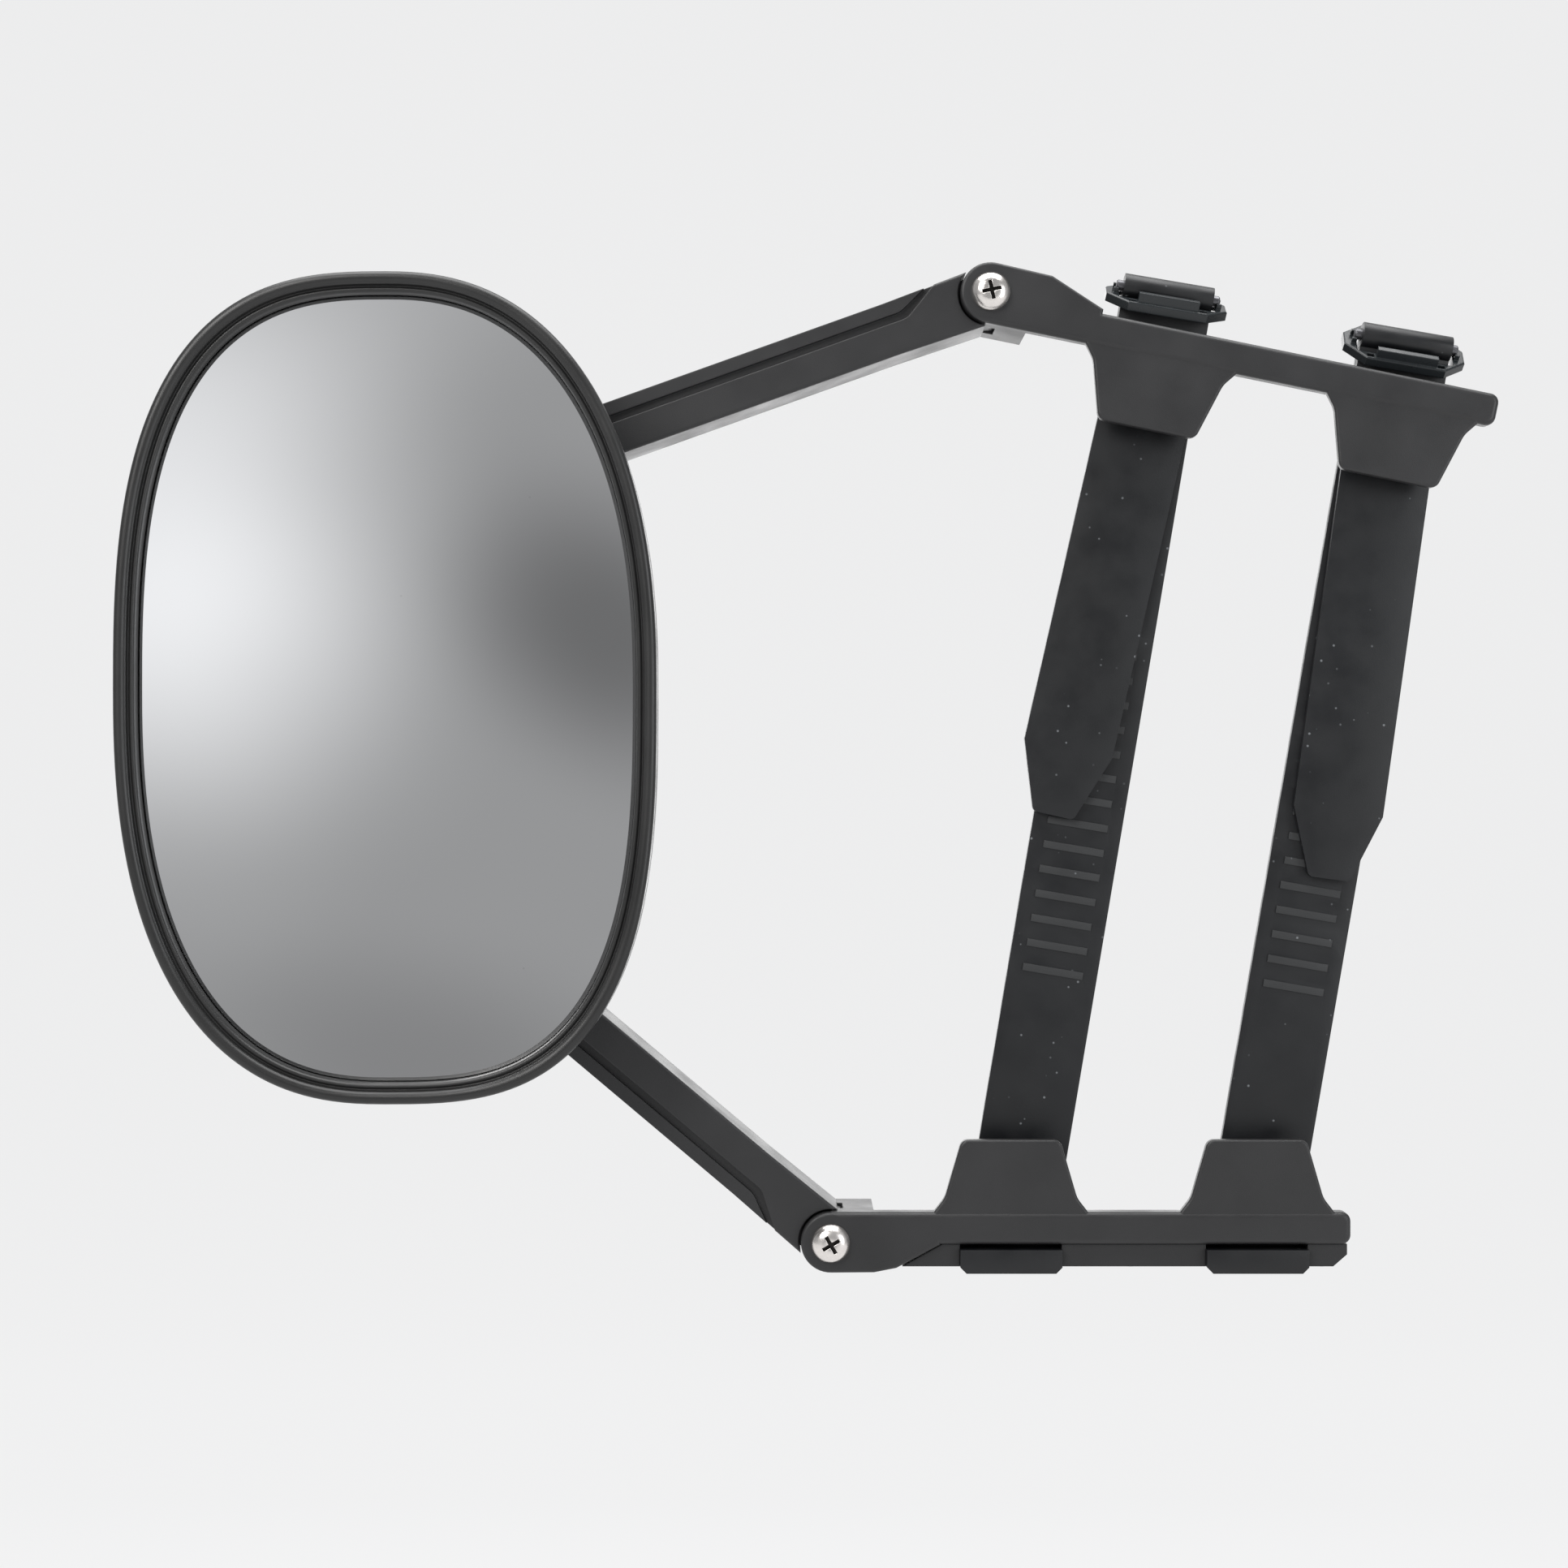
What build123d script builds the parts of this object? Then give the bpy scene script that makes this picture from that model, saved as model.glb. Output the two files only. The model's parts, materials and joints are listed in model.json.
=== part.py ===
"""Towing mirror that clamps over a car's door mirror with two rails and two rubber straps.

Frame: millimetres, +X from the mirror head towards the clamp's outer end, +Y away from the
driver's eye (the glass faces -Y), +Z up.  The origin is the centre of the clamp, on the plane
of the rails' front faces.
"""
from build123d import *
from math import atan2, copysign, cos, degrees, hypot, pi, radians, sin, sqrt
import os

os.makedirs("parts", exist_ok=True)

# ---- driving dimensions -----------------------------------------------------------------
LOWER_HINGE = (-106.7, -144.9)  # X, Z of the screw that joins the lower arm and lower rail
UPPER_HINGE = (-54.9, 163.0)
UPPER_RAIL_TILT = 11.6  # the upper rail falls away from the head, degrees

RAIL_LENGTH = 168.5  # from the hinge screw to the rounded end
RAIL_DEPTH = 26.0
RAIL_INNER = 9.9  # from the hinge centre to the clamping face
RAIL_OUTER = 0.6  # from the hinge centre to the bar's outer face
RAIL_END_RADIUS = 3.0
RAIL_ROUND = 1.8  # rounding of the bars' front edges
LIP_DEPTH = 5.2  # front lip of each bar, which stands the full height
SHELF_DROP = 5.0  # from the lip to the shelf behind it
SHELF_START = 14.0  # along the rail, from the hinge
BOSS_ROUND = 1.0
BOSS_RADIUS = 9.7
FORK_MARGIN = 1.2  # room round the arm's eye in the rail's fork
GUSSET_TOP = 2.0  # how far the gussets reach up into the bars
UPPER_GUSSET = ((18.5, -9.2), (36.9, -1.9))  # along the rail and outwards, from the hinge
LOWER_GUSSET = ((14.0, -9.6), (21.2, -8.2), (35.5, -0.6))

TONGUE_PLACES = (58.4, RAIL_LENGTH - 30.3)  # along each rail, from its hinge
TONGUE_BASE = 50.0  # at the clamping face, flare included
TONGUE_SHOULDER = 43.0  # where the flare ends
TONGUE_TIP = 32.0
TONGUE_HEIGHT = 23.4
TONGUE_THICK = 3.2
TONGUE_FLARE = 4.5  # height of the flare
TONGUE_TIP_RADIUS = 3.0
TONGUE_SETBACK = 0.5  # from the bar's front face
TONGUE_ROUND = 0.9
TONGUE_ROOT_RADIUS = 8.0
TONGUE_PAD_THICK = 1.2
TONGUE_PAD_CORNER = 1.5

STRAP_WIDTH = 29.5
STRAP_PASS = STRAP_WIDTH + 2.4  # openings that the strap runs through
STRAP_THICK = 2.4
STRAP_MAIN_Y = 14.2  # front face of the main run
STRAP_TAIL_Y = 11.2  # front face of the folded tail
TAIL_LENGTHS = (152.0, 154.5)  # from the clamping face of the upper rail
TAIL_SPLAYS = (3.3, -1.8)  # how far each tail leans away from its main run, degrees
TAIL_TAPER = 8.0
TAIL_POINT = 22.5
TAIL_CORNER = 2.0
TAIL_ROOT = 2.0
RIB_PITCH = 8.2
RIB_LENGTH = 20.0
RIB_HEIGHT = 2.4
RIB_THICK = 0.5
RIB_COUNT = 15
RIB_STARTS = (90.3, 84.9)  # first rib above each strap's anchor
STRAP_FOOT = -0.5  # lower end of the main run, inside its anchor
ANCHOR_WIDTH = STRAP_WIDTH + 3.5
ANCHOR_TOP = -2.2  # measured from the lower hinge's level
ANCHOR_BOTTOM = -9.8
ANCHOR_FRONT = -0.6
ANCHOR_CHAMFER = 2.0

PLATE_WIDTH = STRAP_PASS + 8.1
PLATE_DEPTH = 21.0
PLATE_THICK = 3.0
PLATE_CORNER = 7.0
PLATE_LIFTS = (28.0, 42.0)  # tilt of each buckle plate towards the driver, degrees
BUCKLE_PIN_RADIUS = 1.8
BUCKLE_PIN_LENGTH = STRAP_PASS + 2.4
PIN_CHAMFER = 0.4
PIN_HEIGHT = 13.2  # from the rail's outer face to the pin's axis
WINDOW_DEPTH = 11.8
RIDGE_LENGTH = 20.0
RIDGE_WIDTH = 2.2
RIDGE_HEIGHT = 3.0
NOTCH_WIDTH = 2.4  # the two notches beside the ridge
NOTCH_DEPTH = 1.8
CRADLE_WIDTH = 1.6
CRADLE_WALL = 1.0

COVER_DEPTH = RAIL_DEPTH - 4.0
COVER_BOTTOM = -7.9
COVER_START = 21.5
COVER_SLOPE = 8.0  # how far the near end leans towards the gusset
COVER_END_GAP = 1.0  # from the rail's far end
COVER_BEVEL = (4.5, 3.9)  # bevel of the far end's lower corner
COVER_SCREW_RADIUS = 1.6
COVER_SCREW_LENGTH = 11.5
CROSS_LENGTH = 2.6  # cross recess of the small screws
CROSS_WIDTH = 0.7
CROSS_DEPTH = 0.9
TONGUE_PAD_INSET = 2.0
STRIP_INSET = 6.0
STRIP_MARGIN = 1.6
STRIP_THICK = 0.6
STRIP_RIB = 0.4  # height of the ribs on the strips
STRIP_PITCH = 3.0

SCREW_RADIUS = 3.0
SCREW_HEAD_RADIUS = 6.2
SCREW_HEAD_HEIGHT = 3.4
SCREW_HEAD_RIM = 0.9  # upright part of the head
SCREW_POINT = 0.5
NUT_FLATS = 2 * SCREW_RADIUS + 4.0
NUT_HEIGHT = 5.0
NUT_COLLAR = 1.0  # height of the lock nut's collar
NUT_COLLAR_WALL = 0.6  # from the flats to the collar
WASHER_RADIUS = 2 * SCREW_RADIUS
WASHER_CHAMFER = 0.3
THREAD_PROUD = 1.8  # of a screw's end, from its nut
WASHER_THICK = 1.6
BUSH_WALL = 1.5

ARM_FRONT = 3.0
ARM_DEPTH = RAIL_DEPTH - 2 * ARM_FRONT
ARM_HEIGHT = 17.4
ARM_END_HEIGHT = 18.6
ARM_STEP = 0.9  # depth of the recessed outer band
ARM_EYE_RADIUS = 9.5
EYE_THICK = 9.4
ARM_START = 4.0
ARM_TAPER = 34.0
ARM_STEP_LINE = -1.6
ARM_STEP_IN = 28.0
ARM_STEP_OUT = 14.0
ARM_STEP_RADIUS = 6.0
ARM_GROOVE = 2.8  # width of the groove along the step
ARM_GROOVE_DEEP = 1.7  # below the recessed band
ARM_ROUND = 1.0
ARM_CHANNEL_ENDS = 20.0
ARM_WALL = 2.6
ARM_RIBS = 5
EYE_FLAT = 1.5  # the eye's neck is this much lower than the eye, on each side
EYE_ROOT = 2.0  # how far the eye's neck goes into the bar
FORK_REACH = 14.5
OPEN_PIVOT_GAP = 0.6
RECESS_DEPTH = 2.0
BOLT_TURN = 20.0  # how the bracket bolts happen to be turned, degrees
SCREW_TURNS = (12.0, 30.0)  # upper and lower hinge screw

HEAD_CENTRE = (-243.9, 33.1)  # X, Z
HEAD_HALF_WIDTH = 83.2
HEAD_HALF_HEIGHT = 127.4
CORNER_POWERS = (2.35, 2.75, 2.45, 2.95)  # upper right, upper left, lower left, lower right
RIM_FRONT = -44.0
RIM_WIDTH = 6.4
RIM_BEAD = 3.8
RIM_ROUND = 2.2
RIM_LIP_ROUND = 0.8
RIM_LIP_DROP = 1.4
BEZEL_DEPTH = 12.0
GLASS_FRONT = -37.4
GLASS_THICK = 2.2
GLASS_LIP = 2.2  # glass hidden behind the bezel's inner lip
PAD_INSET = 10.0
PAD_THICK = 0.8
PLATE_WALL = 2.0
SHELL_WALL = 2.4
SHELL_SIDE_BACK = -22.0
SHELL_BACK = -8.4
SHELL_INSET = 0.8
SHELL_STEPS = (0, 0.25, 0.5, 0.75, 1)
POST_X = 36.0  # of the four posts, either side of the head's centre
POST_Z = 60.0
POST_SEAT = -15.0  # where the screw heads sit in the posts
PLATE_BOSS = 7.0
POST_RADIUS = 4.5
POST_SCREW_RADIUS = 1.6
SMALL_HEAD = 1.8
RING_SCREW_DEPTH = 7.0
RING_HEIGHT = 8.0
SHELL_CROWN = (0.62, 0.66)  # the crown's half width and height, as shares of the rim's

PIVOT_RISE = 62.5  # from the ball's centre to each arm's pivot in the bracket
BRACKET_THICK = 9.0
BRACKET_WIDTH = 26.0
BRACKET_END_WIDTH = 16.4
BALL_Y = -18.0
BALL_RADIUS = 10.0
SEAT_RADIUS = BALL_RADIUS + 3.0
SEAT_HALF = 6.5
SEAT_BLANK = 1.0  # the seat is turned from a ring this much larger
SPLIT_WIDTH = 1.2  # of the slit that lets the seat spring over the ball
SOCKET_RADIUS = SEAT_RADIUS + 7.0
RING_SCREW_CIRCLE = SEAT_RADIUS + 3.6
THREAD_BITE = 0.2  # how much smaller a tapped hole is than its screw's clearance hole
NECK_RADIUS = 5.0
BOSS_FRONT = 4.0
STUD_RADIUS = 4.0
STUD_NUT_FLATS = 13.0
STUD_WASHER_RADIUS = 9.0
STUD_PROUD = 2.5
FLANGE_THICK = 2.5
BOSS_INSET = 3.0  # of the stud's boss, from the bracket's edge
POCKET_LENGTH = 18.0  # lightening pockets in the bracket
POCKET_SPREAD = 6.0

GAP = 0.4  # between pieces that move past each other
RUN = 0.08  # radial clearance of a pin or a ball in its seat
SEAT = 0.02  # between pieces that are fastened to each other

# ---- places worked out from the above -----------------------------------------------------
BACK = (0, 1, 0)
RAIL_MIDDLE = RAIL_DEPTH / 2
EYE_FRONT = RAIL_MIDDLE - EYE_THICK / 2
UPPER_PIVOT = (HEAD_CENTRE[0], HEAD_CENTRE[1] + PIVOT_RISE)
LOWER_PIVOT = (HEAD_CENTRE[0], HEAD_CENTRE[1] - PIVOT_RISE)
BAR_HEIGHT = RAIL_INNER + RAIL_OUTER
PLATE_BACK = GLASS_FRONT + GLASS_THICK + PAD_THICK + PLATE_WALL + 2 * SEAT
POSTS_FRONT = PLATE_BACK + PLATE_BOSS + SEAT
SLOT_FRONT = STRAP_TAIL_Y - GAP
SLOT_BACK = STRAP_MAIN_Y + STRAP_THICK + GAP
PIN_Y = STRAP_MAIN_Y - BUCKLE_PIN_RADIUS
UPPER = "upper"
LOWER = "lower"


def finish(part, name):
    part.label = name
    export_step(part, f"parts/{name}.step")


def face_plane(origin, angle, y, flip=False):
    """Sketch plane across the depth, its x along the given angle, y inwards to the clamp."""
    a = radians(angle)
    normal = (0, 1, 0) if flip else (0, -1, 0)
    return Plane(origin=(origin[0], y, origin[1]), x_dir=(cos(a), 0, sin(a)), z_dir=normal)


def rail_plane(which, y):
    if which == LOWER:
        return face_plane(LOWER_HINGE, 0, y)
    return face_plane(UPPER_HINGE, -UPPER_RAIL_TILT, y, flip=True)


def rail_point(which, along, inward):
    """X and Z of a point given along a rail and inwards from its hinge."""
    point = rail_plane(which, 0).from_local_coords((along, inward, 0))
    return (point.X, point.Z)


# ---- the two rails --------------------------------------------------------------------------
def corners(sketch, *points):
    """The vertices of a sketch that lie nearest to the given points."""
    found = []
    for point in points:
        at = Vector(*point, 0)
        found.append(min(sketch.vertices(), key=lambda v: (Vector(*v) - at).length))
    return found


def make_tongue(which, centre):
    """Tongue that flares into the rail at its root, with rounded corners and front edges."""
    root = TONGUE_BASE / 2
    shoulder = TONGUE_SHOULDER / 2
    tip = TONGUE_TIP / 2
    top = RAIL_INNER + TONGUE_HEIGHT
    bend = RAIL_INNER + TONGUE_FLARE
    outline = [
        (centre - root, 0), (centre + root, 0), (centre + root, RAIL_INNER),
        (centre + shoulder, bend), (centre + tip, top), (centre - tip, top),
        (centre - shoulder, bend), (centre - root, RAIL_INNER),
    ]
    with BuildPart() as tongue:
        with BuildSketch(rail_plane(which, TONGUE_SETBACK)) as face:
            with BuildLine():
                Polyline(*outline, close=True)
            make_face()
            fillet(corners(face, outline[4], outline[5]), radius=TONGUE_TIP_RADIUS)
            fillet(corners(face, outline[3], outline[6]), radius=TONGUE_ROOT_RADIUS)
        extrude(amount=TONGUE_THICK - TONGUE_SETBACK, dir=BACK)
        fillet(front_edges(tongue, TONGUE_SETBACK), radius=TONGUE_ROUND)
    return tongue.part


def front_edges(part, y):
    """Edges of a part that lie in the plane across the depth at y."""
    return part.edges().filter_by(lambda e: all(abs(v.Y - y) < SEAT for v in e.vertices()))


def make_boss(which):
    """Hinge boss with the gusset that slopes into the bar."""
    with BuildPart() as boss:
        with BuildSketch(rail_plane(which, 0)):
            with BuildLine():
                Polyline(*gusset_points(which), close=True)
            make_face()
            Circle(BOSS_RADIUS)
        extrude(amount=RAIL_DEPTH, dir=BACK)
        fillet(front_edges(boss, 0), radius=BOSS_ROUND)
    return boss.part


def make_bar(which):
    """Bar of a rail: a lip along the front, and a lower shelf behind it for the strip."""
    height = SHELF_DROP + RAIL_ROUND
    length = RAIL_LENGTH - SHELF_START
    with BuildPart() as bar:
        with BuildSketch(rail_plane(which, 0)):
            with BuildLine():
                Polyline(
                    (0, -RAIL_OUTER), (RAIL_LENGTH, -RAIL_OUTER), (RAIL_LENGTH, RAIL_INNER),
                    (0, RAIL_INNER), close=True,
                )
            make_face()
        extrude(amount=RAIL_DEPTH, dir=BACK)
        ends = bar.edges().filter_by(Axis.Y).sort_by(Axis.X)[-2:]
        fillet(ends, radius=RAIL_END_RADIUS)
        fillet(front_edges(bar, 0), radius=RAIL_ROUND)
        with BuildSketch(rail_plane(which, LIP_DEPTH)):
            with Locations((SHELF_START + length, RAIL_INNER - SHELF_DROP + height / 2)):
                Rectangle(2 * length, height)
        extrude(amount=RAIL_DEPTH, dir=BACK, mode=Mode.SUBTRACT)
    return bar.part


def gusset_points(which):
    """Outline that slopes from the hinge's boss into the bar."""
    slope = UPPER_GUSSET if which == UPPER else LOWER_GUSSET
    end = slope[-1][0]
    return [(0, -BOSS_RADIUS), *slope, (end, GUSSET_TOP), (0, RAIL_INNER / 2)]


def slot_width():
    """Width of the rails' slots, with room for the lean of the straps."""
    lean = max(strap_ends(side)[3] for side in (0, 1))
    return STRAP_PASS + 2 * (RAIL_INNER - ANCHOR_TOP) * sin(radians(lean))


def make_rail(which):
    with BuildPart() as rail:
        add(make_bar(which))
        add(make_boss(which))
        for centre in TONGUE_PLACES:
            add(make_tongue(which, centre))
        # slots for the straps, right through the bar
        for centre in TONGUE_PLACES:
            with BuildSketch(rail_plane(which, SLOT_FRONT)):
                with Locations((centre, (RAIL_INNER - RAIL_OUTER) / 2)):
                    Rectangle(slot_width(), 3 * BAR_HEIGHT)
            extrude(amount=SLOT_BACK - SLOT_FRONT, dir=BACK, mode=Mode.SUBTRACT)
        # fork for the arm's eye, and the hole for the hinge screw
        fork_radius = ARM_EYE_RADIUS + FORK_MARGIN
        with BuildSketch(rail_plane(which, EYE_FRONT - GAP)):
            Circle(fork_radius)
            with Locations((-fork_radius, 0)):
                Rectangle(2 * fork_radius, 4 * fork_radius)
        extrude(amount=EYE_THICK + 2 * GAP, dir=BACK, mode=Mode.SUBTRACT)
        with BuildSketch(rail_plane(which, 0)):
            Circle(SCREW_RADIUS + SEAT)
        extrude(amount=RAIL_DEPTH, dir=BACK, mode=Mode.SUBTRACT)
        if which == LOWER:
            with BuildSketch(Plane.XY.offset(LOWER_HINGE[1] - RAIL_OUTER)):
                with Locations(*cover_screw_places()):
                    Circle(COVER_SCREW_RADIUS + SEAT)
            extrude(amount=COVER_SCREW_LENGTH + COVER_BOTTOM + RAIL_OUTER + GAP,
                    mode=Mode.SUBTRACT)
    return rail.part


def make_tongue_pads(which):
    """Thin rubber facings glued to the clamping side of a rail's two tongues."""
    tip = TONGUE_TIP / 2 - TONGUE_PAD_INSET
    root = TONGUE_SHOULDER / 2 - TONGUE_PAD_INSET
    low = RAIL_INNER + TONGUE_PAD_INSET
    top = RAIL_INNER + TONGUE_HEIGHT - TONGUE_PAD_INSET
    with BuildPart() as pads:
        for centre in TONGUE_PLACES:
            outline = [
                (centre + root, low), (centre + tip, top),
                (centre - tip, top), (centre - root, low),
            ]
            with BuildSketch(rail_plane(which, TONGUE_THICK + SEAT)) as face:
                with BuildLine():
                    Polyline(*outline, close=True)
                make_face()
                fillet(face.vertices(), radius=TONGUE_PAD_CORNER)
            extrude(amount=TONGUE_PAD_THICK, dir=BACK)
    return pads.part


def make_grip_strip(which):
    """Ribbed rubber strip on the shelf of a rail, behind the strap slots."""
    base = RAIL_INNER - SHELF_DROP + SEAT
    start = BOSS_RADIUS + STRIP_INSET
    length = RAIL_LENGTH - STRIP_INSET - start
    front = SLOT_BACK + STRIP_MARGIN
    width = RAIL_DEPTH - STRIP_MARGIN - front
    floor = rail_plane(which, front)
    with BuildPart() as strip:
        with BuildSketch(floor):
            with Locations((start + length / 2, base + STRIP_THICK / 2)):
                Rectangle(length, STRIP_THICK)
        extrude(amount=width, dir=BACK)
        ribs = int(length / STRIP_PITCH)
        with BuildSketch(floor):
            with Locations((start + length / 2, base + STRIP_THICK + STRIP_RIB / 2)):
                with GridLocations(STRIP_PITCH, 1, ribs, 1):
                    Rectangle(STRIP_PITCH / 2, STRIP_RIB)
        extrude(amount=width, dir=BACK)
    return strip.part


def make_lower_cover():
    """Cover under the lower rail that traps the two strap anchors."""
    front = (RAIL_DEPTH - COVER_DEPTH) / 2
    end = RAIL_LENGTH - COVER_END_GAP
    slope_top, slope_end = LOWER_GUSSET[-2][0], LOWER_GUSSET[-1][0]
    with BuildPart() as cover:
        with BuildSketch(rail_plane(LOWER, front)) as side:
            outline = [
                (COVER_START + COVER_SLOPE, -RAIL_OUTER - SEAT), (end, -RAIL_OUTER - SEAT),
                (end, COVER_BOTTOM + COVER_BEVEL[1]), (end - COVER_BEVEL[0], COVER_BOTTOM),
                (COVER_START, COVER_BOTTOM),
            ]
            with BuildLine():
                Polyline(*outline, close=True)
            make_face()
        extrude(amount=COVER_DEPTH, dir=BACK)
        # clear of the gusset that slopes into the rail
        with BuildSketch(rail_plane(LOWER, 0)):
            with BuildLine():
                Polyline((0, GUSSET_TOP), (slope_end + 2 * GAP, GUSSET_TOP),
                         (slope_end + 2 * GAP, LOWER_GUSSET[-1][1]),
                         (slope_top + 2 * GAP, LOWER_GUSSET[-2][1] - GAP),
                         (slope_top, 2 * COVER_BOTTOM), (0, 2 * COVER_BOTTOM), close=True)
            make_face()
        extrude(amount=RAIL_DEPTH, dir=BACK, mode=Mode.SUBTRACT)
        # pockets for the anchors, open at the front and below
        for centre in TONGUE_PLACES:
            with BuildSketch(rail_plane(LOWER, -1)):
                with Locations((centre, 0)):
                    Rectangle(ANCHOR_WIDTH + 2 * SEAT, 4 * BAR_HEIGHT)
            extrude(amount=SLOT_BACK + 1, dir=BACK, mode=Mode.SUBTRACT)
        with BuildSketch(Plane.XY.offset(LOWER_HINGE[1])):
            with Locations(*cover_screw_places()):
                Circle(COVER_SCREW_RADIUS + SEAT)
        extrude(amount=2 * BAR_HEIGHT, both=True, mode=Mode.SUBTRACT)
    return cover.part


def cover_screw_places():
    """One screw midway between the anchors, and one midway from the outer anchor to the end."""
    middle = sum(TONGUE_PLACES) / 2
    outer = (TONGUE_PLACES[1] + ANCHOR_WIDTH / 2 + RAIL_LENGTH - COVER_END_GAP) / 2
    ends = (middle, outer)
    return [(LOWER_HINGE[0] + x, RAIL_MIDDLE) for x in ends]


def make_cover_screws():
    head = LOWER_HINGE[1] + COVER_BOTTOM
    with BuildPart() as screws:
        for place in cover_screw_places():
            with BuildSketch(Plane.XY.offset(head - SEAT)):
                with Locations(place):
                    Circle(COVER_SCREW_RADIUS)
            extrude(amount=COVER_SCREW_LENGTH)
            with BuildSketch(Plane.XY.offset(head - SEAT)):
                with Locations(place):
                    Circle(2 * COVER_SCREW_RADIUS)
            extrude(amount=-COVER_SCREW_RADIUS)
            with BuildSketch(Plane.XY.offset(head - COVER_SCREW_RADIUS)):
                with Locations(place):
                    Rectangle(CROSS_LENGTH, CROSS_WIDTH)
                    Rectangle(CROSS_WIDTH, CROSS_LENGTH)
            extrude(amount=CROSS_DEPTH, mode=Mode.SUBTRACT)
    return screws.part


# ---- hinge hardware -------------------------------------------------------------------------
def cross_recess(size):
    """Outline of a cross recess, added to the current sketch."""
    Rectangle(size, size / 5)
    Rectangle(size / 5, size)


def make_pan_screw(centre, head_y, length, turn):
    """Pan head screw, its shank along +Y from the head's underside at head_y."""
    with BuildPart() as screw:
        with BuildSketch(Plane(origin=(centre[0], 0, centre[1]), x_dir=(1, 0, 0), z_dir=(0, 0, 1))):
            with BuildLine():
                Polyline((0, head_y - SCREW_HEAD_HEIGHT), (0, head_y + length),
                         (SCREW_RADIUS - SCREW_POINT, head_y + length),
                         (SCREW_RADIUS, head_y + length - SCREW_POINT),
                         (SCREW_RADIUS, head_y), (SCREW_HEAD_RADIUS, head_y),
                         (SCREW_HEAD_RADIUS, head_y - SCREW_HEAD_RIM))
                ThreePointArc(
                    (SCREW_HEAD_RADIUS, head_y - SCREW_HEAD_RIM),
                    (SCREW_HEAD_RADIUS * 0.80, head_y - SCREW_HEAD_HEIGHT * 0.78),
                    (0, head_y - SCREW_HEAD_HEIGHT),
                )
            make_face()
        revolve(axis=Axis((centre[0], 0, centre[1]), (0, 1, 0)))
        with BuildSketch(face_plane(centre, turn, head_y - SCREW_HEAD_HEIGHT - 1)):
            cross_recess(SCREW_HEAD_RADIUS)
        extrude(amount=1 + RECESS_DEPTH, dir=BACK, mode=Mode.SUBTRACT)
    return screw.part


def make_ring(centre, y, thick, inner, outer, chamfer_size=0.0):
    """Washer or bush on an axis along Y."""
    with BuildPart() as ring:
        with BuildSketch(face_plane(centre, 0, y)):
            Circle(outer)
            Circle(inner, mode=Mode.SUBTRACT)
        extrude(amount=thick, dir=BACK)
        if chamfer_size:
            rims = ring.edges().filter_by(GeomType.CIRCLE).filter_by(lambda e: e.radius > outer - 1e-3)
            chamfer(rims, length=chamfer_size)
    return ring.part


def make_nut(centre, y):
    with BuildPart() as nut:
        with BuildSketch(face_plane(centre, 0, y)):
            RegularPolygon(NUT_FLATS / 2, 6, major_radius=False)
            Circle(SCREW_RADIUS + SEAT, mode=Mode.SUBTRACT)
        extrude(amount=NUT_HEIGHT, dir=BACK)
        collar = face_plane(centre, 0, y + NUT_HEIGHT)
        with BuildSketch(collar):
            Circle(NUT_FLATS / 2 - NUT_COLLAR_WALL)
            Circle(SCREW_RADIUS + SEAT, mode=Mode.SUBTRACT)
        extrude(amount=NUT_COLLAR, dir=BACK)
    return nut.part


def make_hinge_hardware(which, centre, turn):
    shank = RAIL_DEPTH + SEAT + WASHER_THICK + NUT_HEIGHT + THREAD_PROUD
    finish(make_pan_screw(centre, -SEAT, shank + SEAT, turn), f"{which}_hinge_screw")
    back = RAIL_DEPTH + SEAT
    finish(make_ring(centre, back, WASHER_THICK, SCREW_RADIUS + SEAT, WASHER_RADIUS,
                     WASHER_CHAMFER),
           f"{which}_hinge_washer")
    finish(make_nut(centre, back + WASHER_THICK + SEAT), f"{which}_hinge_nut")
    bush_y = EYE_FRONT - GAP + SEAT
    finish(make_ring(centre, bush_y, EYE_THICK + 2 * (GAP - SEAT), SCREW_RADIUS + SEAT,
                     SCREW_RADIUS + BUSH_WALL), f"{which}_hinge_bush")


# ---- the two arms ---------------------------------------------------------------------------
def arm_frame(which):
    """Hinge point, far pivot, length and angle of an arm."""
    hinge = UPPER_HINGE if which == UPPER else LOWER_HINGE
    pivot = UPPER_PIVOT if which == UPPER else LOWER_PIVOT
    dx, dz = pivot[0] - hinge[0], pivot[1] - hinge[1]
    return hinge, pivot, hypot(dx, dz), degrees(atan2(dz, dx))


def arm_plane(which, y):
    """Sketch plane on an arm: x towards the head, y towards the other arm."""
    hinge, _, _, angle = arm_frame(which)
    return face_plane(hinge, angle, y, flip=which == LOWER)


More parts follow.
